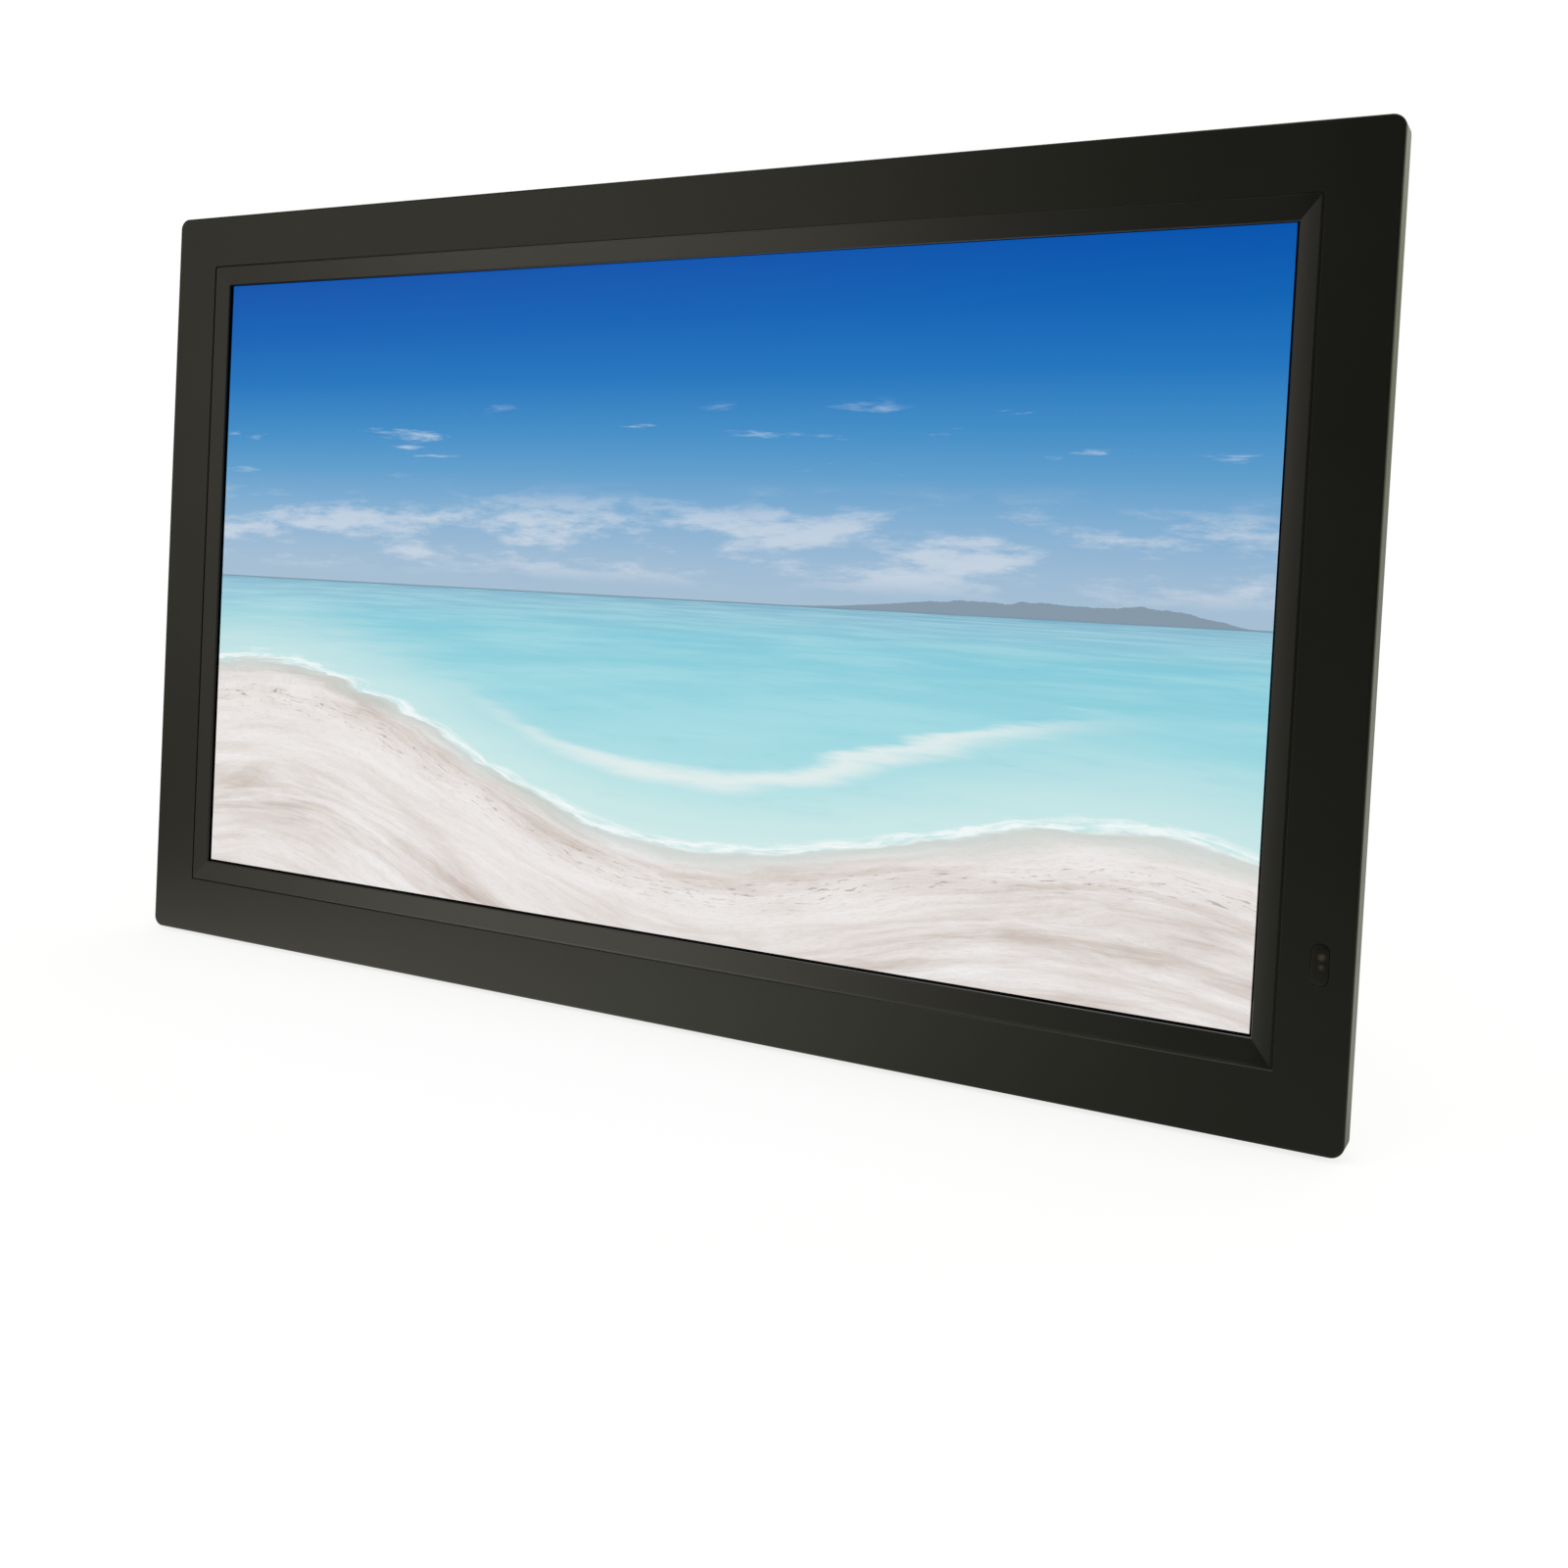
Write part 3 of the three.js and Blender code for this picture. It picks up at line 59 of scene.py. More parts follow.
HARD_EDGE = 31.0  # degrees above which a crease is shown hard

SCREEN_W, SCREEN_H, SCREEN_Z = 409.8, 230.4, 145.4  # lit area, and its middle's height
CELL_Y, CELL_T, CELL_BORDER = 2.95, 1.2, 4.0  # the glass: its face's depth, thickness, dark margin

FRAME_W, FRAME_H, FRAME_DEPTH = 465.4, 288.15, 9.6
CORNER_R, EDGE_R = 4.0, 0.8
SIDE_WALL, PLATE_T = 2.0, 2.4  # the border's side wall and its front plate

RING_W, RING_H, RING_Z = 424.4, 246.3, 144.95  # the bevel ring's outline, and its middle's height
RING_LAND, RING_T = 0.25, 1.9  # flat land before the slope, and the flange's depth
BEVEL_DROP, LIP_T, LIP_W = 1.6, 0.6, 1.3  # depth of the slope, then the lip's thickness and width
LIP_MARGIN, TOP_MARGIN = 0.75, 0.05  # from the lit area to the lip, at the sides and foot and at the top
SEAM_OUT, SEAM_IN = 0.12, 0.4  # how far the seam's two walls stand from the ring's outline
SEAM_DEPTH = [0.7, 0.12]  # at the left side and at the right

IR_X, IR_Z, IR_W, IR_H = 223.3, 53.25, 4.6, 11.6  # infrared window
RECEIVER_Z, LED_Z = 55.2, 52.4  # heights of the receiver and the lamp behind it
FOOT_X, FOOT_W, FOOT_Y, FOOT_DEEP = 190.0, 36.0, 6.7, 4.6

COVER_Y, COVER_T = 9.9, 2.4  # the rear housing's front edge, and its wall
SLOPE_START, SLOPE_END = 4.0, 30.0  # insets between which its back slopes
SLOPE_Y, BACK_Y, BOX_Y = 13.0, 24.0, 38.0  # depths of the slope's start, the back and the box
BOX_W, BOX_BOTTOM, BOX_TOP, BOX_R = 256.0, 34.0, 236.0, 9.0
TUB_W, TUB_BOTTOM, TUB_TOP, TUB_FLOOR = 62.4, 49.0, 164.014, 28.5  # the leg's recess
SPEAKER_X, SPEAKER_Z, GRILLE_R, CLOTH_R = 100.0, 196.0, 16.0, 17.4

KEY_X, KEY_W, KEY_H, KEY_TOP = 165.35, 11.0, 7.4, 25.1
KEYS = ["power", "menu", "up", "down", "left", "right", "enter"]
KEY_Z = {name: 197.0 - 17.0 * k for k, name in enumerate(KEYS)}

SCREW_INSET = 28.0
SCREWS = [(s * 221.7, z) for z in (SCREW_INSET, FRAME_H / 2, FRAME_H - SCREW_INSET) for s in (-1, 1)]
SCREWS += [(0.0, 10.5), (0.0, FRAME_H - 10.5)]
SCREW_SEAT = COVER_Y + 2.0
POST_R = 5.4  # screw pillars and insert bosses

INSERT_R, INSERT_LENGTH = 3.0, 8.0
INSERTS = [(s * 50.0, 172.0 + t * 50.0) for s in (-1, 1) for t in (-1, 1)]

PORT_ROOT = 25.8  # depth at which every socket's body starts
PORTS = {  # middle x, opening's width and height, height of the socket's body
    "dc": (-104.0, 9.0, 9.0, 9.0),
    "switch": (-78.0, 8.4, 3.2, 6.0),
    "audio": (-52.0, 7.6, 6.0, 6.0),
    "hdmi": (56.0, 15.2, 6.0, 6.0),
    "usb": (80.0, 13.4, 6.0, 6.0),
    "card": (106.0, 27.0, 3.4, 3.4),
}


def lean_matrix():
    """The turn and shift from panel millimetres to world metres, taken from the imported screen's box."""
    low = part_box("lcd_cell")[0] * 1000
    c, s = np.cos(LEAN), np.sin(LEAN)
    z_low = SCREEN_Z - SCREEN_H / 2 - CELL_BORDER
    origin_y = low.y - (CELL_Y * c + z_low * s)
    origin_z = low.z - (z_low * c - (CELL_Y + CELL_T) * s)
    turn = Matrix.Rotation(-LEAN, 4, "X")
    return Matrix.Scale(0.001, 4) @ Matrix.Translation((0, origin_y, origin_z)) @ turn


IN_WORLD = lean_matrix()
ORIGIN = IN_WORLD.translation * 1000


# ---------------------------------------------------------------- outlines and skins
def rounded(w, h, r, x=0.0, z=0.0, steps=8):
    """Rounded rectangle in (x, z): four quarter circles of radius r, each in equal steps of angle."""
    r = min(r, w / 2 - 1e-3, h / 2 - 1e-3)
    turn = np.linspace(0, np.pi / 2, steps + 1)
    a = (np.arange(4)[:, None] * np.pi / 2 + turn).ravel()
    sx = np.repeat([1, -1, -1, 1], steps + 1)
    sz = np.repeat([1, 1, -1, -1], steps + 1)
    return np.stack([x + sx * (w / 2 - r) + r * np.cos(a), z + sz * (h / 2 - r) + r * np.sin(a)], -1)


def circle(r, x=0.0, z=0.0, steps=24):
    """A circle in (x, z): its middle plus r times the cosine and the sine of equal steps of angle."""
    a = np.linspace(0, 2 * np.pi, steps, endpoint=False)
    return np.stack([x + r * np.cos(a), z + r * np.sin(a)], -1)


def at_depth(flat, y):
    """An outline in (x, z) set at depth y, which is one number or one for each point."""
    return np.stack([flat[:, 0], np.broadcast_to(y, len(flat)), flat[:, 1]], -1)


def at_height(flat, z):
    """An outline in (x, y) set at height z."""
    return np.stack([flat[:, 0], flat[:, 1], np.full(len(flat), z)], -1)


def station(w, h, r, y, x=0.0, z=0.0, steps=8):
    """A rounded rectangle set at depth y, as points (x, y, z)."""
    return at_depth(rounded(w, h, r, x, z, steps), y)


def frame_line(inset, y, r=None, steps=12):
    """The frame's outline moved inwards by inset; its corners keep their centres until r runs out."""
    r = max(CORNER_R - inset, 0.4) if r is None else r
    return station(FRAME_W - 2 * inset, FRAME_H - 2 * inset, r, y, 0, FRAME_H / 2, steps)


def quarter(radius, steps=6):
    """A quarter circle as (across, along): across falls from radius to 0 while along grows from 0."""
    a = np.linspace(0, np.pi / 2, steps + 1)
    return list(zip(radius * (1 - np.sin(a)), radius * (1 - np.cos(a))))


def skin(rows, loop=False):
    """Quads between neighbouring rows of equal length; rows close on themselves, and loop joins last to
    first. Without loop the two ends are capped by one flat face each."""
    rows = np.asarray(rows, float)
    m, n = rows.shape[:2]
    i, j = np.meshgrid(np.arange(m if loop else m - 1), np.arange(n), indexing="ij")
    up, on = (i + 1) % m, (j + 1) % n
    quads = np.stack([i * n + j, i * n + on, up * n + on, up * n + j], -1).reshape(-1, 4).tolist()
    if not loop:
        quads += [list(range(n))[::-1], list(range((m - 1) * n, m * n))]
    return rows.reshape(-1, 3), quads


def joined(*skins):
    """Several skins as one set of points and faces."""
    points, faces, start = [], [], 0
    for p, f in skins:
        points.append(p)
        faces += [[k + start for k in face] for face in f]
        start += len(p)
    return np.concatenate(points), faces


def turned(x, z, levels, steps=24):
    """A turned shape about an axis along y: a circle of each level's radius at its depth."""
    return skin([at_depth(circle(r, x, z, steps), y) for r, y in levels])


def box_line(w, h, r, x, z, steps=5):
    """The outline of a rounded rectangle, as a function of how much it is grown all round."""
    return lambda grow: rounded(w + 2 * grow, h + 2 * grow, r + grow, x, z, steps)


def slot_line(length, width, x, z, upright=False):
    """The outline of a slot with round ends, as a function of how much it is grown all round."""
    w, h = (width, length) if upright else (length, width)
    return box_line(w, h, width / 2, x, z, 6)


TUB_LINE = box_line(TUB_W, TUB_TOP - TUB_BOTTOM, 3, 0, (TUB_TOP + TUB_BOTTOM) / 2, 8)


def spaced(count, pitch):
    """A number of places a pitch apart, with their middle at 0."""
    return (np.arange(count) - (count - 1) / 2) * pitch


def opening(flat, skin_y, deep=5.0, flare=0.35):
    """A column that cuts in through the skin at depth skin_y; the flare eases its mouth at 45 degrees."""
    levels = [(0, skin_y - deep), (0, skin_y - flare), (flare, skin_y), (flare, skin_y + OVER)]
    return skin([at_depth(flat(grow), y) for grow, y in levels])


# ---------------------------------------------------------------- meshes
def crease(bm):
    """Smooth shading everywhere but on open edges and those sharper than HARD_EDGE."""
    limit = float(np.radians(HARD_EDGE))
    for face in bm.faces:
        face.smooth = True
    for edge in bm.edges:
        edge.smooth = len(edge.link_faces) == 2 and edge.calc_face_angle(0) < limit


def tidy(mesh):
    """Welds a mesh, turns its faces outwards, and marks its hard edges."""
    bm = bmesh.new()
    bm.from_mesh(mesh)
    bmesh.ops.remove_doubles(bm, verts=bm.verts, dist=WELD)
    bmesh.ops.dissolve_degenerate(bm, dist=WELD, edges=bm.edges)
    bmesh.ops.recalc_face_normals(bm, faces=bm.faces)
    crease(bm)
    bm.to_mesh(mesh)
    bm.free()


def shown(name, mesh):
    """A new object for a mesh, in the scene and at the origin."""
    obj = bpy.data.objects.new(name, mesh)
    bpy.context.scene.collection.objects.link(obj)
    return obj


def blank(name, points, faces):
    """A mesh object in millimetres that still has to be placed."""
    mesh = bpy.data.meshes.new(name)
    mesh.from_pydata([tuple(p) for p in points], [], faces)
    tidy(mesh)
    return shown(name, mesh)


def carve(obj, shape, operation="DIFFERENCE"):
    """Cuts the closed shape out of obj, or adds it with UNION, and keeps the result as obj's mesh."""
    tool = blank("tool", *shape)
    step = obj.modifiers.new("carve", "BOOLEAN")
    step.object, step.operation, step.solver = tool, operation, "EXACT"
    graph = bpy.context.evaluated_depsgraph_get()
    mesh = bpy.data.meshes.new_from_object(obj.evaluated_get(graph))
    obj.modifiers.clear()
    obj.data = mesh
    bpy.data.objects.remove(tool)
    tidy(mesh)


def dress(obj, finish):
    """Gives an object one finish as its only material."""
    obj.data.materials.clear()
    obj.data.materials.append(finish.material)


def hand_over(obj, body, slot, nodes, finish=None):
    """Makes a placed piece ride on its body, stand for its nodes and wear its slot's finish."""
    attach(obj, body)
    if nodes:
        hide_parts(*nodes)
    dress(obj, finish or SLOT_FINISH[slot])


def settle(obj, body, slot, nodes=(), finish=None):
    """Leans a finished millimetre mesh into the world and hands it over."""
    obj.data.transform(IN_WORLD)
    hand_over(obj, body, slot, nodes, finish)


def piece(name, shape, body, slot, nodes=(), finish=None):
    """A shape in panel millimetres as a finished piece."""
    settle(blank(name, *shape), body, slot, nodes, finish)


def rounded_copy(node, body, slot, width):
    """A node's own solid, its triangles merged into flat faces and its hard edges rounded by width."""
    source = frame["nodes"][node].data
    bm = bmesh.new()
    places = [bm.verts.new(v.co) for v in source.vertices]
    bm.verts.ensure_lookup_table()
    for face in source.polygons:
        bm.faces.new([places[k] for k in face.vertices])
    bmesh.ops.remove_doubles(bm, verts=bm.verts, dist=WELD / 1000)
    nearly_flat = np.radians(0.5)
    bmesh.ops.dissolve_limit(bm, angle_limit=nearly_flat, verts=bm.verts, edges=bm.edges)
    crease(bm)
    mesh = bpy.data.meshes.new(node + "_moulding")
    bm.to_mesh(mesh)
    bm.free()
    obj = shown(node + "_moulding", mesh)
    soften = obj.modifiers.new("soften", "BEVEL")
    soften.width, soften.segments = width / 1000, 2
    soften.limit_method, soften.angle_limit = "ANGLE", np.radians(HARD_EDGE + 1)
    soften.harden_normals = True
    hand_over(obj, body, slot, [node])


# ---------------------------------------------------------------- front border
def border_shape():
    """A closed profile carried round the frame: window edge, flat face, outer round, side wall, hollow."""
    ease, rear_ease = 0.22, 0.25
    hold = 0.15  # straight run kept beside the window's round

    def window(out, y):
        """The window's outline, grown by out beyond the seam, at depth y."""
        grow = 2 * (SEAM_OUT + out)
        return station(RING_W + grow, RING_H + grow, 0.5 + out, y, 0, RING_Z, 12)

    rows = [window(0, PLATE_T), window(0, ease + hold)]
    rows += [window(across, along) for across, along in reversed(quarter(ease, 4))]
    rows += [window(ease + hold, 0), frame_line(EDGE_R + 0.4, 0)]
    rows += [frame_line(across, along) for across, along in quarter(EDGE_R, 9)]
    rows += [frame_line(0, EDGE_R + 0.3), frame_line(0, FRAME_DEPTH - rear_ease - 0.2)]
    rows += [frame_line(along, FRAME_DEPTH - across) for across, along in quarter(rear_ease, 3)]
    rows += [frame_line(SIDE_WALL, FRAME_DEPTH), frame_line(SIDE_WALL, PLATE_T)]
    return skin(rows, loop=True)


def stadium(grow, y):
    """The infrared window's outline, two half circles and two sides, grown all round and set at depth y."""
    w = IR_W + 2 * grow
    return station(w, IR_H + 2 * grow, w / 2, y, IR_X, IR_Z, 12)


def border_cuts():
    """The infrared window's slot with an eased mouth, and the two seats for the rubber feet."""
    ease, seat = 0.12, 0.6
    slot = [(GAP + 0.5, -0.3), (GAP + ease, 0.0), (GAP, ease), (GAP, PLATE_T + OVER)]
    cuts = [skin([stadium(grow, y) for grow, y in slot])]
    for x in (-FOOT_X, FOOT_X):
        flat = rounded(FOOT_W, FOOT_DEEP, 0.5, x, FOOT_Y, 4)
        cuts.append(skin([at_height(flat, z) for z in (-OVER, seat)]))
    return joined(*cuts)


def bevel_shape():
    """A closed profile carried round the picture: seam, narrow land, sloped bevel, thin lip. Its outline
    goes from the seam's to the lip's in a straight line; the seam's floor rises from left to right."""
    low, high = SCREEN_Z - SCREEN_H / 2 - LIP_MARGIN, SCREEN_Z + SCREEN_H / 2 + TOP_MARGIN
    outer = np.array([RING_W - 2 * SEAM_IN, RING_H - 2 * SEAM_IN, RING_Z])
    inner = np.array([SCREEN_W + 2 * LIP_MARGIN, high - low, (low + high) / 2])

    def at(t, y, out=0.0):
        """The outline at a share t of the way from the seam to the lip, grown by out, at depth y."""
        w, h, z = outer + (inner - outer) * t
        return station(w + 2 * out, h + 2 * out, 0.25, y, 0, z, 4)

    ease, flange = 0.16, SEAM_IN + SEAM_OUT - 0.05
    run = (RING_W - SCREEN_W) / 2 - SEAM_IN - LIP_MARGIN
    slope = BEVEL_DROP / (run - RING_LAND)
    seam = [at(0, 0.0, flange), at(0, 0.0)]
    for line in seam:
        line[:, 1] = np.interp(line[:, 0], [-RING_W / 2, RING_W / 2], SEAM_DEPTH)
    rows = [at(0, RING_T, flange), *seam, at(0, ease + 0.02)]
    rows += [at(0, along, -across) for across, along in reversed(quarter(ease, 3))]
    for t in (RING_LAND, RING_LAND + 0.12, run - 0.45, run - 0.22):
        rows.append(at(t / run, max(t - RING_LAND, 0) * slope))
    rows += [at(1, BEVEL_DROP + 0.2), at(1, BEVEL_DROP + LIP_T)]
    rows += [at(1, BEVEL_DROP + LIP_T, LIP_W), at(1, RING_T, LIP_W)]
    return skin(rows, loop=True)


def window_lens():
    """A stadium column that nearly fills its slot, over a wider flange; its front is eased and crowned."""
    side, ease, front = 0.2, 0.16, 0.12
    flange_r, flange_y, back = 0.9, 2.7, 3.5
    rows = [stadium(flange_r, back), stadium(flange_r, flange_y), stadium(side, flange_y)]
    rows += [stadium(side, front + ease)]
    rows += [stadium(side - across, front + along) for across, along in reversed(quarter(ease, 5))]
    rows += [stadium(-0.9, front - 0.04), stadium(-1.6, front - 0.06)]
    return skin(rows)


# ---------------------------------------------------------------- rear housing
def slope_depth(inset):
    """Depth of the rear skin at an inset from the frame's outline: a straight ramp between two depths."""
    return np.interp(inset, [SLOPE_START, SLOPE_END], [SLOPE_Y, BACK_Y])


def housing_shape():
    """One closed profile from the hollow's floor, round the lip, up the pillow slope and over the box.
    The slope bends into the flat back on a parabola that touches both lines."""
    box_h, steps = BOX_TOP - BOX_BOTTOM, 16

    def edge(inset, y, r):
        """The frame's outline moved inwards, with corners of radius r, at depth y."""
        return frame_line(inset, y, r, steps)

    def box(shrink, y):
        """The raised box's outline drawn in by shrink, at depth y."""
        r = max(BOX_R - shrink, 1)
        return station(BOX_W - 2 * shrink, box_h - 2 * shrink, r, y, 0, BOX_BOTTOM + box_h / 2, steps)

    inner_back = BACK_Y - COVER_T
    rows = [box(2.2, BOX_Y - COVER_T), box(2.2, inner_back), edge(SLOPE_END, inner_back, 14)]
    tongue = [(4.3, 10.7, 0.8), (4.3, 6.8, 0.8), (2.3, 6.8, 1.7), (2.3, COVER_Y, 1.7)]
    lip = [(1.25, COVER_Y, 3), (1, COVER_Y + 0.25, 3), (1.2, 11.2, 3), (1.45, 11.75, 3.2)]
    shoulder = [(1.95, 12.2, 3.7), (2.9, 12.6, 4.8)]
    slope = [(inset, slope_depth(inset), r) for inset, r in ((4.2, 6), (12, 9.2), (20, 12.4))]
    rows += [edge(*row) for row in tongue + lip + shoulder + slope]

    rise = (BACK_Y - SLOPE_Y) / (SLOPE_END - SLOPE_START)
    reach = 2.2
    for b in np.linspace(-1, 1, 9):
        inset = SLOPE_END + reach * b
        drop = rise * reach * (1 - b) ** 2 / 4
        corner = np.interp(inset, [SLOPE_START, SLOPE_END], [6, 16])
        rows.append(edge(inset, BACK_Y - drop, corner))

    foot_ease, top_ease = 1.0, 1.7
    rows += [box(-foot_ease - 0.6, BACK_Y), box(-foot_ease, BACK_Y)]
    rows += [box(-across, BACK_Y + along) for across, along in quarter(foot_ease, 4)]
    rows += [box(0, BACK_Y + foot_ease + 0.4), box(0, BOX_Y - top_ease - 0.4)]
    rows += [box(along, BOX_Y - across) for across, along in quarter(top_ease, 6)]
    rows += [box(top_ease + 0.4, BOX_Y)]
    return skin(rows)


def screw_pillar(x, z):
    """A post under the skin whose top follows the slope inside the wall's thickness."""
    flat = circle(POST_R, x, z)
    px, pz = flat.T
    inset = np.minimum(np.minimum(FRAME_W / 2 - abs(px), pz), FRAME_H - pz)
    return skin([at_depth(flat, COVER_Y), at_depth(flat, slope_depth(inset) - COVER_T / 2)])


def port_shape(name):
    """A socket's opening in the underside of the box: a rounded column along z with an eased mouth."""
    x, w, h, body = PORTS[name]
    ease, deep = 0.4, 3.2
    line = box_line(w + 2 * GAP, h + 2 * GAP, 0.6, x, PORT_ROOT + body / 2, 4)
    levels = [(ease, -OVER), (ease, 0), (0, ease), (0, deep)]
    return skin([at_height(line(grow), BOX_BOTTOM + up) for grow, up in levels])


def vent_cuts():
    """Level slots through the back beside the box, and upright slots through the box near its top."""
    width = 2.0
    side_long, side_z, top_long, top_z = 44.7, 146.0, 22.0, 214.0
    side = [slot_line(side_long, width, -KEY_X, side_z + up) for up in spaced(14, 7.0)]
    top = [slot_line(top_long, width, x, top_z, upright=True) for x in spaced(12, 6.0)]
    return [opening(line, BACK_Y) for line in side] + [opening(line, BOX_Y) for line in top]


def grille_cuts():
    """Seven level slots for each speaker; each is as long as the circle is wide at its height."""
    width, flare, cuts = 1.8, 0.3, []
    for s in (-1, 1):
        for up in spaced(7, 4.4):
            length = 2 * np.sqrt(GRILLE_R ** 2 - up ** 2)
            line = slot_line(length, width, s * SPEAKER_X, SPEAKER_Z + up)
            cuts.append(opening(line, BOX_Y, flare=flare))
    return cuts


def housing_cuts():
    """Every opening in the rear housing as closed columns, set apart from each other."""
    cuts = [opening(TUB_LINE, BOX_Y, BOX_Y - TUB_FLOOR, 0.6)]
    hole, flare = INSERT_R + GAP, 0.4
    for x, z in INSERTS:
        levels = [(hole, -INSERT_LENGTH - GAP), (hole, -flare), (hole + flare, 0), (hole + flare, OVER)]
        cuts.append(turned(x, z, [(r, BOX_Y + y) for r, y in levels]))
    for z in KEY_Z.values():
        cuts.append(opening(box_line(KEY_W + 2 * GAP, KEY_H + 2 * GAP, 2, KEY_X, z), BACK_Y))
    bore, sink = 1.6, 3.4
    for x, z in SCREWS:
        levels = [(bore, COVER_Y - OVER), (bore, SCREW_SEAT), (sink, SCREW_SEAT), (sink, BACK_Y + OVER)]
        cuts.append(turned(x, z, levels))
    cuts += vent_cuts() + grille_cuts() + [port_shape(name) for name in PORTS]
    return joined(*cuts)


def housing_adds():
    """Solid parts that the skin gains before it is cut: the leg's well, insert bosses and screw pillars."""
    wall = 2.0
    adds = [skin([at_depth(TUB_LINE(wall), y) for y in (TUB_FLOOR - wall, BOX_Y - 1)])]
    boss = [(POST_R, BOX_Y - INSERT_LENGTH - 1.5), (POST_R, BOX_Y - 1)]
    adds += [turned(x, z, boss) for x, z in INSERTS]
    adds += [screw_pillar(x, z) for x, z in SCREWS]
    return joined(*adds)


# ---------------------------------------------------------------- keys, screws and small parts
def key_cap(z):
    """A rounded key with a hidden flange, an eased rim and a shallow dish. The dish rises from its middle
    with the square of the distance to it."""
    under, rim, dish = 21.3, 0.6, 0.18
    dish_edge, dish_middle = 0.9, 3.65

    def row(shrink, y):
        """The key's outline drawn in by shrink, at depth y."""
        r = max(1.8 - shrink, 0.35)
        return station(KEY_W - 2 * shrink, KEY_H - 2 * shrink, r, y, KEY_X, z, 6)

    rows = [row(-0.9, under - 0.8), row(-0.9, under), row(0, under), row(0, KEY_TOP - rim - 0.2)]
    for a in np.linspace(0, np.pi / 2, 6):
        rows.append(row(rim * (1 - np.cos(a)), KEY_TOP - rim * (1 - np.sin(a))))
    for shrink in (dish_edge, 1.5, 2.2, 2.9, 3.4):
        away = (dish_middle - shrink) / (dish_middle - dish_edge)
        rows.append(row(shrink, KEY_TOP - dish * (1 - away ** 2)))
    return skin(rows)


def stroke(path, width, y0, y1):
    """A flat bar carried along a path in (x, z): its two sides lie half the width off the path's line."""
    path = np.asarray(path, float)
    ahead = np.roll(path, -1, 0) - path
    behind = path - np.roll(path, 1, 0)
    ahead[-1], behind[0] = behind[-1], ahead[0]
    ahead /= np.linalg.norm(ahead, axis=1, keepdims=True)
    behind /= np.linalg.norm(behind, axis=1, keepdims=True)
    along = ahead + behind
    along /= np.linalg.norm(along, axis=1, keepdims=True)
    side = np.stack([-along[:, 1], along[:, 0]], -1)
    square = np.stack([-ahead[:, 1], ahead[:, 0]], -1)
    side *= (width / 2 / np.clip((side * square).sum(1), 0.5, 1))[:, None]
    left, right = path + side, path - side
    corners = [at_depth(left, y0), at_depth(left, y1), at_depth(right, y1), at_depth(right, y0)]
    return skin(np.stack(corners, 1))


def key_mark(name, z):
    """A moulded sign on a key: broken ring and bar, three lines, arrow heads, or a bent arrow."""
    def bar(points, width=0.34):
        """A stroke through points counted from the key's middle, as seen from behind."""
        return stroke([(KEY_X - px, z + pz) for px, pz in points], width, KEY_TOP - 0.4, KEY_TOP - 0.02)

    if name == "power":
        a = np.radians(np.linspace(125, 415, 25))
        ring = np.stack([1.35 * np.cos(a), 1.35 * np.sin(a) - 0.1], -1)
        return joined(bar(ring), bar([(0, 0.25), (0, 1.6)]))
    if name == "menu":
        return joined(*[bar([(-1.5, h), (1.5, h)]) for h in (-0.95, 0, 0.95)])
    if name == "enter":
        shaft = bar([(1.4, 1.1), (1.4, -0.4), (-0.9, -0.4)])
        return joined(shaft, bar([(-0.3, 0.4), (-1.2, -0.4), (-0.3, -1.2)]))
    turn = np.radians({"up": 0, "left": 90, "down": 180, "right": 270}[name])
    c, s = np.cos(turn), np.sin(turn)
    head = [(-1.3, -0.6), (0, 0.75), (1.3, -0.6)]
    return bar([(px * c - pz * s, px * s + pz * c) for px, pz in head], 0.42)


def screw_head(x, z):
    """A domed head on a polar grid: height falls with the square of the radius, less a cross-shaped pit."""
    radius, height, dome = 2.9, 1.9, 0.5
    pit_deep, arm_long, arm_wide = 0.95, 1.7, 0.36
    seat, steps = SCREW_SEAT + GAP, 64
    share = np.linspace(0.02, 1, 22)[:, None]
    px, pz = np.moveaxis(circle(radius, steps=steps) * share[..., None], -1, 0)
    flat_arm = np.maximum(abs(px) / arm_long, abs(pz) / arm_wide)
    upright_arm = np.maximum(abs(px) / arm_wide, abs(pz) / arm_long)
    pit = np.clip((1.15 - np.minimum(flat_arm, upright_arm)) / 0.3, 0, 1) * pit_deep
    y = seat + height - dome * share ** 2 - pit
    rows = list(np.stack([x + px, y, z + pz], -1))
    rows += [at_depth(circle(radius, x, z, steps), h) for h in (seat + 1.2, seat)]
    rows += [at_depth(circle(0.45 * radius, x, z, steps), h) for h in (seat, seat - 3)]
    return skin(rows)


def threaded_bush(x, z):
    """A bush turned about y: eased rim, flat face, and a blind bore whose radius runs in V grooves."""
    pitch, crest, root = 0.7, 1.65, 2.0
    face = BOX_Y - 0.03
    levels = [(INSERT_R - 0.2, BOX_Y - INSERT_LENGTH), (INSERT_R, BOX_Y - INSERT_LENGTH + 0.2)]
    levels += [(INSERT_R, BOX_Y - 0.2), (INSERT_R - 0.14, face), (root + 0.3, face)]
    for k, depth in enumerate(np.arange(0.4, INSERT_LENGTH - 1, pitch / 2)):
        levels.append((crest if k % 2 else root, BOX_Y - depth))
    return turned(x, z, levels, 48)


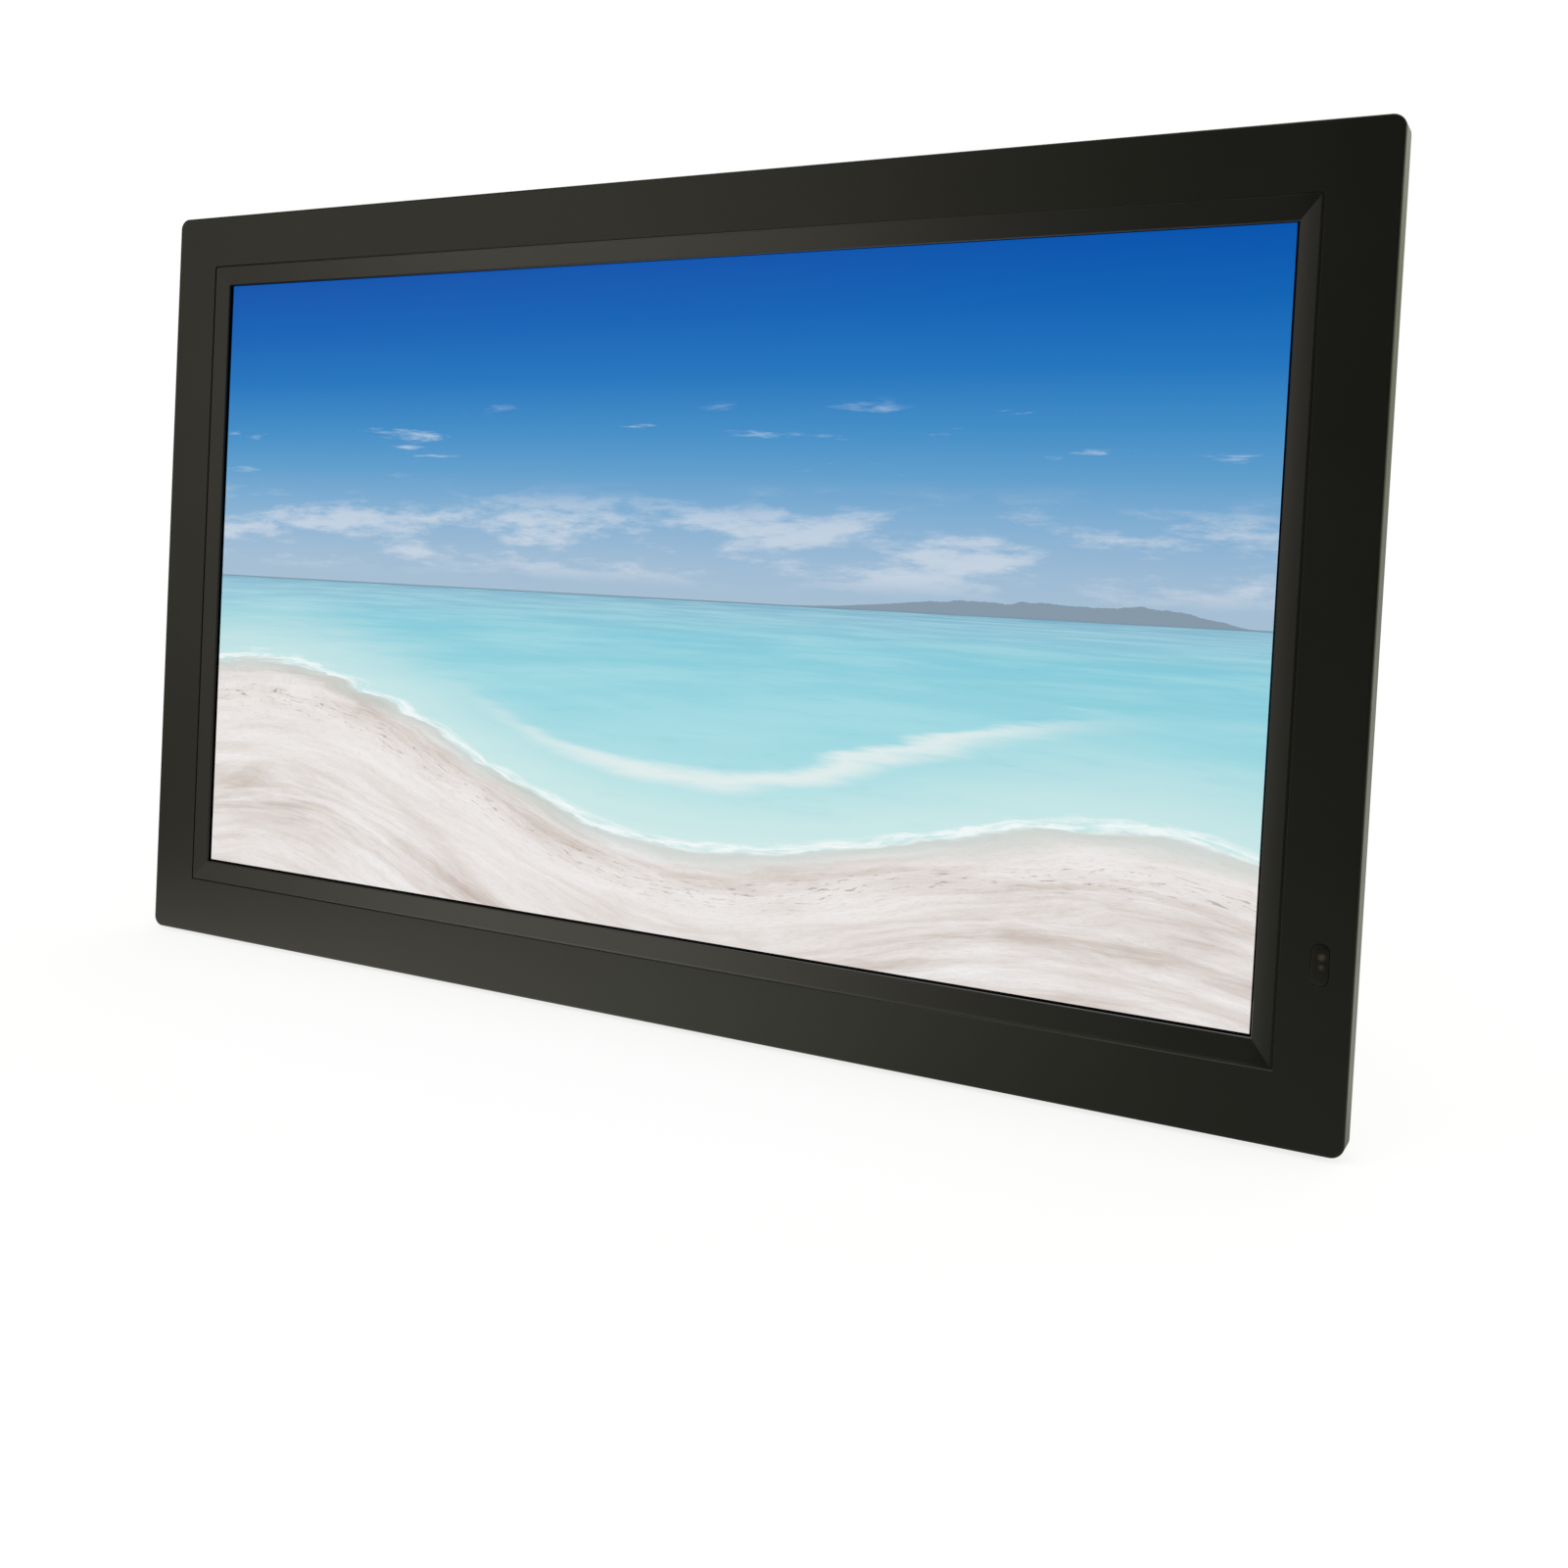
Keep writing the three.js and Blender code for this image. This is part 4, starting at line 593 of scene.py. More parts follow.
def speaker_cloth(s):
    """A round of cloth behind the slots, bowed in at its middle; the bow falls with the radius squared."""
    bow, thick, front = 0.35, 0.15, BOX_Y - COVER_T - 0.12

    def levels(radii, back):
        """One side of the cloth, as radius and depth."""
        return [(r, front - back - bow * (1 - (r / CLOTH_R) ** 2)) for r in radii]

    radii = np.linspace(0.3, CLOTH_R, 12)
    return turned(s * SPEAKER_X, SPEAKER_Z, levels(radii, 0) + levels(radii[::-1], thick), 48)


def contact_row(x, y, z0, z1, count, pitch, width, thick):
    """A row of flat contacts a pitch apart, each a small bar along z whose lower end is thinned."""
    lead, thinned = 0.3, 0.12
    bars = []
    for x0 in x - width / 2 + spaced(count, pitch):
        rows = []
        for z, back in ((z0, y + thick - thinned), (z0 + lead, y + thick), (z1, y + thick)):
            rows.append([(x0, y, z), (x0 + width, y, z), (x0 + width, back, z), (x0, back, z)])
        bars.append(skin(rows))
    return joined(*bars)


def socket_contacts():
    """The rows of contacts that show in the mouths of the three data sockets."""
    usb, hdmi, card = (PORTS[name][0] for name in ("usb", "hdmi", "card"))
    tongue = PORT_ROOT + 3.0
    return {
        "usb_contacts": contact_row(usb, tongue + 0.88, 36.7, 44, 4, pitch=2.4, width=1.1, thick=0.14),
        "hdmi_contacts": contact_row(hdmi, tongue + 0.68, 36.6, 42, 10, pitch=1.05, width=0.5, thick=0.12),
        "card_contacts": contact_row(card, PORT_ROOT + 0.56, 40, 50, 9, pitch=2.4, width=1.0, thick=0.14),
    }


# ---------------------------------------------------------------- node writing
BLACK, WHITE = (0, 0, 0, 1), (1, 1, 1, 1)


def linear(colour, level=1.0):
    """An 8-bit screen colour as linear light by the standard curve, then brought to a level."""
    c = np.asarray(colour, float) / 255
    light = np.where(c <= 0.04045, c / 12.92, ((c + 0.055) / 1.055) ** 2.4)
    return (*(light * level), 1.0)


class Net:
    """Adds nodes to one tree; a value is a number, a tuple or another node's output."""

    def __init__(self, tree):
        self.tree = tree

    def node(self, kind, out=0, settings=None, **inputs):
        """Adds a node and gives one of its outputs, or the node itself where out is None. Inputs are
        named by their labels, or by number as i0, i1 and so on."""
        made = self.tree.nodes.new(kind)
        for key, value in (settings or {}).items():
            setattr(made, key, value)
        for key, value in inputs.items():
            socket = int(key[1:]) if key[1:].isdigit() else key.replace("_", " ")
            self.feed(made.inputs[socket], value)
        return made if out is None else made.outputs[out]

    def feed(self, socket, value):
        """Links an output to a socket, or writes a plain value into it."""
        if isinstance(value, bpy.types.NodeSocket):
            self.tree.links.new(value, socket)
        else:
            socket.default_value = value

    def math(self, operation, *values):
        """One step of arithmetic on one to three values."""
        numbered = {"i%d" % k: value for k, value in enumerate(values)}
        return self.node("ShaderNodeMath", settings={"operation": operation}, **numbered)

    def times(self, value, *others):
        """The product of all its values."""
        for other in others:
            value = self.math("MULTIPLY", value, other)
        return value

    def plus(self, a, b):
        """The sum of two values."""
        return self.math("ADD", a, b)

    def minus(self, a, b):
        """The first value less the second."""
        return self.math("SUBTRACT", a, b)

    def below(self, value, limit):
        """1 where the value is less than the limit, 0 elsewhere."""
        return self.math("LESS_THAN", value, limit)

    def ramp(self, value, low, high, to_low=0.0, to_high=1.0, smooth=True):
        """Goes from to_low to to_high while the value goes from low to high, and stays level outside."""
        settings = {"interpolation_type": "SMOOTHSTEP" if smooth else "LINEAR"}
        spans = {"i1": low, "i2": high, "i3": to_low, "i4": to_high}
        return self.node("ShaderNodeMapRange", 0, settings, i0=value, **spans)

    def band(self, value, rise, fall):
        """0, then 1, then 0 again as the value grows through the span rise and later the span fall."""
        return self.times(self.ramp(value, *rise), self.ramp(value, *fall, 1, 0))

    def ripple(self, value, pitch):
        """A sine wave along the value, one wave to each pitch."""
        return self.math("SINE", self.times(value, 2 * np.pi / pitch))

    def mix(self, share, a, b):
        """Colour a where the share is 0, colour b where it is 1."""
        return self.node("ShaderNodeMix", 2, {"data_type": "RGBA"}, i0=share, i6=a, i7=b)

    def laid(self, base, share, strength, colour):
        """A screen colour laid over a base by share times strength."""
        return self.mix(self.times(share, strength), base, linear(colour))

    def noise(self, place, scale, detail=2.0, rough=0.5, warp=0.0):
        """Noise from 0 to 1 at a place."""
        return self.node("ShaderNodeTexNoise", Vector=place, Scale=scale, Detail=detail, Roughness=rough,
                         Distortion=warp)

    def mottle(self, noise):
        """Noise opened out: 0 below 0.3, 1 above 0.7."""
        return self.ramp(noise, 0.3, 0.7)

    def point(self, x, y, z):
        """Three values as one place."""
        return self.node("ShaderNodeCombineXYZ", X=x, Y=y, Z=z)

    def split(self, place):
        """The three values of a place."""
        return self.node("ShaderNodeSeparateXYZ", None, Vector=place).outputs

    def stops(self, value, colours):
        """Screen colours blended in straight lines between positions on the value."""
        made = self.node("ShaderNodeValToRGB", None, Fac=value)
        line = made.color_ramp
        while len(line.elements) < len(colours):
            line.elements.new(0.5)
        for element, (at, colour) in zip(line.elements, colours):
            element.position, element.color = at, linear(colour)
        return made.outputs[0]


# ---------------------------------------------------------------- shared effects
PLACE = ("Vector", (0, 0, 0))


def group(name, inputs, outputs):
    """An empty node group with named inputs (kind, default) and outputs (kind): its net, and the sockets
    to read and to feed."""
    tree = bpy.data.node_groups.new(name, "ShaderNodeTree")
    for label, (kind, default) in inputs.items():
        socket = tree.interface.new_socket(label, in_out="INPUT", socket_type="NodeSocket" + kind)
        socket.default_value = default
    for label, kind in outputs.items():
        tree.interface.new_socket(label, in_out="OUTPUT", socket_type="NodeSocket" + kind)
    net = Net(tree)
    return net, net.node("NodeGroupInput", None).outputs, net.node("NodeGroupOutput", None).inputs


def panel_place():
    """Object coordinates turned back by the lean and counted in millimetres."""
    net, _, out = group("panel_place", {}, {"Place": "Vector"})
    coords = net.node("ShaderNodeTexCoord", "Object")
    moves = {"Location": -(Matrix.Rotation(LEAN, 3, "X") @ ORIGIN), "Rotation": (LEAN, 0, 0),
             "Scale": (1000, 1000, 1000)}
    net.feed(out["Place"], net.node("ShaderNodeMapping", Vector=coords, **moves))
    return net.tree


def fine_grain():
    """Moulded texture: small pits from fine noise over slow swells, as a height from 0 to 1."""
    net, given, out = group("fine_grain", {"Place": PLACE, "Size": ("Float", 0.5)},
                            {"Height": "Float", "Mottle": "Float"})
    scale = net.math("DIVIDE", 1.0, given["Size"])
    pits = net.noise(given["Place"], scale, 3, 0.6)
    swell = net.noise(given["Place"], net.times(scale, 0.21))
    net.feed(out["Height"], net.math("MULTIPLY_ADD", pits, 0.7, net.times(swell, 0.3)))
    net.feed(out["Mottle"], net.noise(given["Place"], 0.021, 3, 0.55))
    return net.tree


def settled_dust():
    """A thin veil on faces that look up, broken by noise: share = up-facing part times speckle."""
    net, given, out = group("settled_dust", {"Place": PLACE, "Amount": ("Float", 0.3)}, {"Share": "Float"})
    upward = net.ramp(net.split(net.node("ShaderNodeNewGeometry", "Normal"))["Z"], 0.25, 0.98)
    speck = net.ramp(net.noise(given["Place"], 1.6, 4, 0.7), 0.35, 0.8)
    veil = net.ramp(net.noise(given["Place"], 0.05), 0.3, 0.7, 0.35, 1.0)
    net.feed(out["Share"], net.times(upward, given["Amount"], net.times(speck, veil)))
    return net.tree


def rubbed_edge():
    """Wear by distance to the frame's outline, broken by noise: 1 at the corner line, 0 inside."""
    net, given, out = group("rubbed_edge", {"Place": PLACE, "Reach": ("Float", 1.5)}, {"Share": "Float"})
    x, _, z = net.split(given["Place"])
    side = net.minus(FRAME_W / 2, net.math("ABSOLUTE", x))
    height = net.math("MINIMUM", z, net.minus(FRAME_H, z))
    near = net.math("DIVIDE", net.math("MINIMUM", side, height), given["Reach"])
    patch = net.ramp(net.noise(given["Place"], 0.18, 4, 0.65), 0.45, 0.75)
    net.feed(out["Share"], net.times(net.ramp(near, 0.0, 1.0, 1.0, 0.0), patch))
    return net.tree


GROUPS = {make.__name__: make() for make in (panel_place, fine_grain, settled_dust, rubbed_edge)}


# ---------------------------------------------------------------- finishes
class Finish(Net):
    """A material with one Principled shader and the shared effects within reach."""

    def __init__(self, name, **constants):
        self.material = bpy.data.materials.new(name)
        self.material.use_nodes = True
        super().__init__(self.material.node_tree)
        self.shader = self.tree.nodes["Principled BSDF"]
        for label, value in constants.items():
            self.set(label.replace("_", " "), value)
        self.place = self.effect("panel_place")["Place"]

    def effect(self, name, **inputs):
        """Puts a shared effect into this material and gives its outputs."""
        made = self.tree.nodes.new("ShaderNodeGroup")
        made.node_tree = GROUPS[name]
        for key, value in inputs.items():
            self.feed(made.inputs[key], value)
        return made.outputs

    def grained(self, size):
        """The moulded texture at this material's place: its height and its mottle."""
        return self.effect("fine_grain", Place=self.place, Size=size)

    def dusted(self, base, amount, colour):
        """A base colour under settled dust. Gives the colour and the dust's share."""
        veil = self.effect("settled_dust", Place=self.place, Amount=amount)["Share"]
        return self.mix(veil, base, linear(colour)), veil

    def set(self, label, value):
        """Sets or links one of the shader's inputs."""
        self.feed(self.shader.inputs[label], value)

    def bump(self, height, depth_mm):
        """Turns a height into the shader's normal, at a depth in millimetres."""
        self.set("Normal", self.node("ShaderNodeBump", Height=height, Distance=depth_mm / 1000))


def moulded_plastic(name, colour, roughness, grain, depth, dust, wear=0.0, **constants):
    """Black moulding: mottled colour, grain in roughness and height (its size and depth in millimetres),
    dust on top, and a rubbed outline where there is wear."""
    made = Finish(name, **constants)
    grained = made.grained(grain)
    base = made.mix(made.mottle(grained["Mottle"]), linear(colour, 0.9), linear(colour, 1.1))
    if wear:
        rub = made.effect("rubbed_edge", Place=made.place, Reach=1.6)["Share"]
        base = made.laid(base, rub, wear, (70, 69, 64))
    base, veil = made.dusted(base, dust, (150, 146, 138))
    made.set("Base Color", base)
    rough = made.math("MULTIPLY_ADD", grained["Height"], 0.12, roughness - 0.06)
    made.set("Roughness", made.plus(rough, made.times(veil, 0.3)))
    made.bump(grained["Height"], depth)
    return made


def border_plastic():
    """The border's black moulding; along the seam's lower edge a painted highlight, as emission, grows
    towards the right.
    """
    made = moulded_plastic("border_plastic", (19, 21, 14), 0.42, grain=0.45, depth=0.008, dust=0.2,
                           wear=0.1, Specular_IOR_Level=0.34, Emission_Strength=1.0)
    x, _, z = made.split(made.place)
    # painted highlight: emission on a thin line at the seam's lower edge, stronger towards the right
    edge = RING_Z - RING_H / 2 - SEAM_OUT
    line = made.times(made.math("GREATER_THAN", z, edge - 0.3), made.below(z, edge + 0.05))
    inside = made.times(line, made.below(x, RING_W / 2 + 0.2))
    pale = made.times(inside, made.ramp(x, 30.0, 200.0))
    made.set("Emission Color", made.mix(pale, BLACK, linear((46, 46, 42))))
    return made


def bevel_plastic():
    """The border's plastic with a sheen that fades at both ends; the lower wall of its lip carries a
    painted highlight, as emission, stronger towards the right, in place of the screen's light on it."""
    made = moulded_plastic("bevel_plastic", (20, 21, 17), 0.36, grain=0.4, depth=0.006, dust=0.1,
                           Specular_IOR_Level=0.2, Emission_Strength=1.0, Coat_Roughness=0.36)
    x, y, z = made.split(made.place)
    # painted highlight on the lip's lower wall, as emission, standing in for the screen's light
    wall = made.times(made.ramp(y, BEVEL_DROP + 0.02, BEVEL_DROP + 0.12), made.below(z, 40.0))
    lit = made.times(wall, made.ramp(x, -140.0, 190.0, 0.05, 1.0))
    made.set("Emission Color", made.mix(lit, BLACK, linear((96, 96, 98))))
    sheen = made.times(made.ramp(x, -210.0, -60.0, 0.28, 0.8), made.ramp(x, 10.0, 150.0, 1.0, 0.6))
    made.set("Coat Weight", made.times(sheen, made.ramp(x, 203.0, 212.0, 1.0, 0.0)))
    return made


def rubber():
    """Soft grey-black with fine ribs: a sine wave across x, one rib every two millimetres."""
    made = Finish("rubber", Specular_IOR_Level=0.35)
    grained = made.grained(0.35)
    base = made.mix(made.mottle(grained["Mottle"]), linear((24, 24, 24)), linear((34, 34, 33)))
    made.set("Base Color", made.dusted(base, 0.3, (120, 118, 112))[0])
    made.set("Roughness", made.math("MULTIPLY_ADD", grained["Height"], 0.15, 0.72))
    ribs = made.ripple(made.split(made.place)["X"], 2.0)
    made.bump(made.math("MULTIPLY_ADD", ribs, 0.5, grained["Height"]), 0.12)
    return made


def metal(name, colour, roughness, squeeze):
    """Metal with a drawn grain: noise squeezed by a factor for each axis moves roughness and height."""
    scratches = 0.12
    made = Finish(name, Metallic=1.0)
    lines = made.noise(made.node("ShaderNodeMapping", Vector=made.place, Scale=squeeze), 1.0, 3, 0.6)
    stain = made.ramp(made.noise(made.place, 0.06, 3, 0.6), 0.35, 0.75, 0, 0.8)
    made.set("Base Color", made.mix(stain, linear(colour), linear(colour, 0.72)))
    made.set("Roughness", made.math("MULTIPLY_ADD", lines, scratches * 2, roughness - scratches))
    made.bump(lines, 0.02)
    return made


def circuit_board():
    """Green mask: copper runs from square cells, pads from round cells, both slightly raised."""
    made = Finish("circuit_board", Coat_Weight=0.3, Coat_Roughness=0.2)
    runs = made.node("ShaderNodeTexVoronoi", 0, {"distance": "MANHATTAN"}, Vector=made.place, Scale=0.22)
    lanes = made.ramp(made.math("FRACT", made.times(runs, 4.5)), 0.35, 0.5)
    cells = made.node("ShaderNodeTexVoronoi", Vector=made.place, Scale=0.35)
    pads = made.ramp(cells, 0.16, 0.2, 1.0, 0.0)
    base = made.mix(lanes, linear((16, 66, 38)), linear((28, 92, 52)))
    made.set("Base Color", made.mix(pads, base, linear((196, 178, 128))))
    made.set("Metallic", made.times(pads, 0.9))
    made.set("Roughness", made.math("MULTIPLY_ADD", lanes, 0.1, 0.32))
    made.bump(made.plus(lanes, pads), 0.04)
    return made


def optical_sheet(name, colour, roughness, transmission=0.0):
    """White or clear sheet with fine prisms across it, a sine wave up z, and faint clouding."""
    made = Finish(name, Transmission_Weight=transmission, IOR=1.49)
    cloud = made.noise(made.place, 0.05, 3)
    made.set("Base Color", made.mix(made.mottle(cloud), linear(colour, 0.9), linear(colour)))
    made.set("Roughness", made.math("MULTIPLY_ADD", cloud, 0.1, roughness))
    made.bump(made.ripple(made.split(made.place)["Z"], 0.8), 0.02)
    return made


def smoked_window():
    """Dark glossy plastic; the receiver and the lamp behind it show through as two dim amber discs of
    painted glow.
    """
    made = Finish("smoked_window", Specular_IOR_Level=0.34, Emission_Strength=1.0)
    flow = made.noise(made.place, 0.4)
    made.set("Base Color", made.mix(made.mottle(flow), linear((19, 19, 16)), linear((24, 22, 18))))
    made.set("Roughness", made.math("MULTIPLY_ADD", flow, 0.08, 0.26))
    x, _, z = made.split(made.place)
    across = made.math("POWER", made.minus(x, IR_X + 0.4), 2)
    # painted glow: emission discs on the window where the parts behind it sit
    painted_glow = BLACK
    for height, radius, colour in ((RECEIVER_Z, 1.5, (60, 49, 37)), (LED_Z, 1.2, (49, 40, 30))):
        up = made.math("POWER", made.minus(z, height + 0.3), 2)
        disc = made.ramp(made.math("SQRT", made.plus(across, up)), radius * 0.1, radius, 1.0, 0.0)
        clouds = made.ramp(made.noise(made.place, 1.6, 3), 0.25, 0.6, 0.6, 1.0)
        painted_glow = made.mix(made.times(disc, clouds), painted_glow, linear(colour))
    made.set("Emission Color", painted_glow)
    return made


def painted_glow_part(name, colour, painted_glow):
    """A small part behind the smoked window, amber or brown, with painted glow so that it shows through it.
    """
    made = Finish(name, Roughness=0.3, Emission_Strength=1.0)
    cloud = made.mottle(made.noise(made.place, 1.4))
    made.set("Base Color", made.mix(cloud, linear(colour), linear(colour, 0.6)))
    # painted glow: emission so the part shows through the dark window
    made.set("Emission Color", made.mix(cloud, linear(painted_glow), linear(painted_glow, 0.7)))
    return made


def woven_cloth():
    """Speaker cloth: two crossed sine waves, one over the other, in colour and height."""
    thread = 0.7
    made = Finish("woven_cloth", Roughness=0.9, Sheen_Weight=0.3)
    x, _, z = made.split(made.place)
    crossed = made.times(made.ripple(x, thread), made.ripple(z, thread))
    weave = made.math("MULTIPLY_ADD", crossed, 0.5, 0.5)
    made.set("Base Color", made.mix(weave, linear((14, 14, 14)), linear((52, 52, 50))))
    made.bump(weave, 0.15)
    return made


def printed_mark():
    """Pale grey paint, rubbed darker in patches of noise."""
    made = Finish("printed_mark", Roughness=0.5)
    worn = made.ramp(made.noise(made.place, 2.2, 3), 0.3, 0.6)
    made.set("Base Color", made.mix(worn, linear((140, 140, 138)), linear((176, 176, 172))))
    return made


# ---------------------------------------------------------------- picture on the screen
# u runs from 0 to 1 across the picture; up and down run from 0 at the horizon to 1 at the top and bottom.
HORIZON = 0.5  # its height as a share of the picture's


def bay_sky(made, u, up):
    """Sky by height, with a low bank of clouds and a row of puffs over it, both from stretched noise."""
    sky = made.stops(up, [
        (0.0, (166, 190, 210)), (0.1, (158, 187, 212)), (0.24, (132, 175, 210)), (0.38, (94, 157, 204)),
        (0.5, (66, 141, 198)), (0.66, (34, 117, 190)), (0.83, (15, 99, 181)), (1.0, (6, 84, 173))])
    bank = made.noise(made.point(made.times(u, 9.0), made.times(up, 11.0), 2.7), 1.0, 9, 0.64)
    bank = made.times(made.ramp(bank, 0.44, 0.62), made.band(up, (0.02, 0.1), (0.2, 0.36)))
    sky = made.laid(sky, bank, 0.75, (206, 216, 228))
    puffs = made.noise(made.point(made.times(u, 7.0), made.times(up, 15.0), 9.1), 1.0, 9, 0.6, 0.3)
    puffs = made.times(made.ramp(puffs, 0.6, 0.7), made.band(up, (0.32, 0.42), (0.5, 0.62)))
    return made.laid(sky, puffs, 0.7, (198, 214, 232))


def bay_sea(made, down, far):
    """Sea by distance below the horizon, with pale patches and small waves of noise."""
    sea = made.stops(down, [
        (0.0, (122, 172, 198)), (0.03, (142, 192, 212)), (0.12, (134, 202, 218)), (0.3, (150, 212, 223)),
        (0.55, (172, 222, 228)), (0.8, (196, 229, 229)), (1.0, (210, 231, 228))])
    patches = made.ramp(made.noise(far, 1.3, 5, 0.6), 0.35, 0.7)
    sea = made.laid(sea, patches, 0.4, (184, 226, 232))
    waves = made.ramp(made.noise(far, 6.0, 8, 0.68), 0.52, 0.68)
    return made.laid(sea, waves, 0.16, (112, 196, 208))


def bay_sand(made, place, shore):
    """Sand in drifts of noise, with fine grain, a line of wrack and a damp strip beside the water."""
    sand = made.stops(made.noise(place, 1.0, 9, 0.68, 0.4), [
        (0.25, (190, 174, 164)), (0.4, (210, 200, 194)), (0.52, (226, 220, 217)), (0.66, (238, 236, 237)),
        (0.9, (246, 244, 246))])
    broad = made.ramp(made.noise(place, 0.23, 3), 0.4, 0.62)
    sand = made.laid(sand, broad, 0.6, (240, 237, 236))
    grain = made.ramp(made.noise(place, 16.0, 5, 0.75), 0.5, 0.66)
    sand = made.laid(sand, grain, 0.3, (190, 178, 168))
    strands = made.ramp(made.noise(place, 7.0, 7, 0.7), 0.56, 0.62)
    wrack = made.times(made.band(shore, (0.06, 0.1), (0.12, 0.2)), strands)
    sand = made.laid(sand, wrack, 0.6, (150, 132, 118))
    return made.mix(made.ramp(shore, 0.0, 0.07, 0.75, 0.0), sand, linear((196, 208, 204)))


def bay_beach(made, u, down):
    """Sea and sand on either side of a waterline. The line is a slant plus a sine plus ragged noise, and
    shore is how far below it a place lies; shallows, a sandbar and foam follow it."""
    depth = made.plus(down, 0.06)
    aside = made.math("DIVIDE", made.minus(u, 0.5), depth)
    far = made.point(aside, made.math("DIVIDE", 1.0, depth), 4.0)
    curl = made.times(made.math("SINE", made.math("MULTIPLY_ADD", u, 7.4, 0.9)), 0.16)
    slant = made.math("MULTIPLY_ADD", made.minus(1.0, u), -0.3, 0.72)
    ragged = made.times(made.minus(made.noise(far, 3.0, 5, 0.55), 0.5), 0.1)
    shore = made.minus(down, made.plus(made.minus(slant, curl), ragged))
    place = made.point(made.times(u, 7.0), made.times(shore, 19.0), 1.0)

    view = made.mix(made.ramp(shore, -0.004, 0.006), bay_sea(made, down, far), bay_sand(made, place, shore))
    shallows = made.band(shore, (-0.3, -0.01), (-0.004, 0.004))
    view = made.laid(view, shallows, 0.6, (216, 236, 233))
    bar = made.plus(made.minus(shore, made.times(ragged, 0.4)), made.math("MULTIPLY_ADD", u, 0.16, 0.13))
    bar = made.band(bar, (-0.035, 0.0), (0.0, 0.05))
    bar = made.times(bar, made.band(u, (0.25, 0.5), (0.75, 0.95)))
    view = made.laid(view, bar, 0.75, (236, 240, 238))
    lace = made.ramp(made.noise(place, 5.0, 5, 0.6), 0.35, 0.6)
    foam = made.times(made.band(shore, (-0.035, -0.012), (-0.004, 0.012)), lace)
    return made.laid(view, foam, 0.9, (244, 248, 248))


def seaside_picture():
    """The lit glass: a made-up bay with a far headland, shown on the front face inside the dark margin."""
    made = Finish("seaside_picture", Roughness=0.3, Specular_IOR_Level=0.05, Emission_Strength=1.0)
    x, y, z = made.split(made.place)
    rise = made.minus(z, SCREEN_Z)
    u = made.math("MULTIPLY_ADD", x, 1 / SCREEN_W, 0.5)
    v = made.math("MULTIPLY_ADD", rise, 1 / SCREEN_H, 0.5)
    up = made.math("DIVIDE", made.minus(v, HORIZON), 1 - HORIZON)
    down = made.math("DIVIDE", made.minus(HORIZON, v), HORIZON)
    below_horizon = made.ramp(down, -0.0025, 0.0025, smooth=False)
    view = made.mix(below_horizon, bay_sky(made, u, up), bay_beach(made, u, down))

    hills = made.math("MULTIPLY_ADD", made.noise(u, 14.0, 5, 0.6), 0.05, 0.012)
    crest = made.times(made.band(u, (0.62, 0.8), (0.93, 0.99)), hills)
    headland = made.times(made.below(up, crest), made.math("GREATER_THAN", up, -0.004))
    view = made.laid(view, headland, 0.75, (120, 138, 152))

    across = made.below(made.math("ABSOLUTE", x), SCREEN_W / 2)
    upright = made.below(made.math("ABSOLUTE", rise), SCREEN_H / 2)
    shows = made.times(across, upright, made.below(y, CELL_Y + 0.1))
    made.set("Emission Color", made.mix(shows, BLACK, view))
    made.set("Base Color", made.mix(made.noise(made.place, 0.1), linear((4, 4, 5)), linear((7, 7, 8))))
    return made


SLOT_FINISH = {
    "front_black": border_plastic(),
    "bevel_black": bevel_plastic(),
    "rear_black": moulded_plastic("housing_plastic", (27, 27, 26), 0.55, grain=0.7, depth=0.055, dust=0.16),
    "key_black": moulded_plastic("key_plastic", (33, 33, 32), 0.45, grain=0.4, depth=0.01, dust=0.15),
    "component_black": moulded_plastic("component_plastic", (26, 26, 27), 0.5, grain=0.6, depth=0.01,
                                       dust=0.1),
    "rubber_black": rubber(),
    "steel": metal("plated_steel", (196, 198, 200), 0.34, squeeze=(0.15, 3.0, 3.0)),
    "brass": metal("turned_brass", (198, 174, 122), 0.3, squeeze=(0.8, 6.0, 0.8)),
    "aluminium": metal("drawn_aluminium", (205, 207, 208), 0.38, squeeze=(3.0, 3.0, 0.12)),
    "picture": seaside_picture(),
    "smoked": smoked_window(),
    "white_plastic": optical_sheet("white_sheet", (236, 238, 236), 0.5),
    "guide_clear": optical_sheet("clear_guide", (235, 244, 244), 0.08, transmission=1.0),
    "board_green": circuit_board(),
}
NODE_FINISH = {
    "ir_receiver": painted_glow_part("receiver_amber", (96, 70, 52), (104, 78, 60)),
    "indicator_led": painted_glow_part("led_amber", (112, 92, 66), (112, 92, 70)),
}
MARK, CLOTH = printed_mark(), woven_cloth()
GOLD = metal("gold_contacts", (214, 178, 104), 0.25, squeeze=(1.0, 1.0, 1.0))

# ---------------------------------------------------------------- pieces
border = blank("front_border", *border_shape())
carve(border, border_cuts())
settle(border, "housing", "front_black", ["front_frame"])
piece("picture_bevel", bevel_shape(), "housing", "bevel_black", ["bevel_ring"])
piece("infrared_lens", window_lens(), "housing", "smoked", ["ir_window"])

housing = blank("rear_housing", *housing_shape())
carve(housing, housing_adds(), "UNION")
carve(housing, housing_cuts())
settle(housing, "housing", "rear_black", ["rear_cover"])

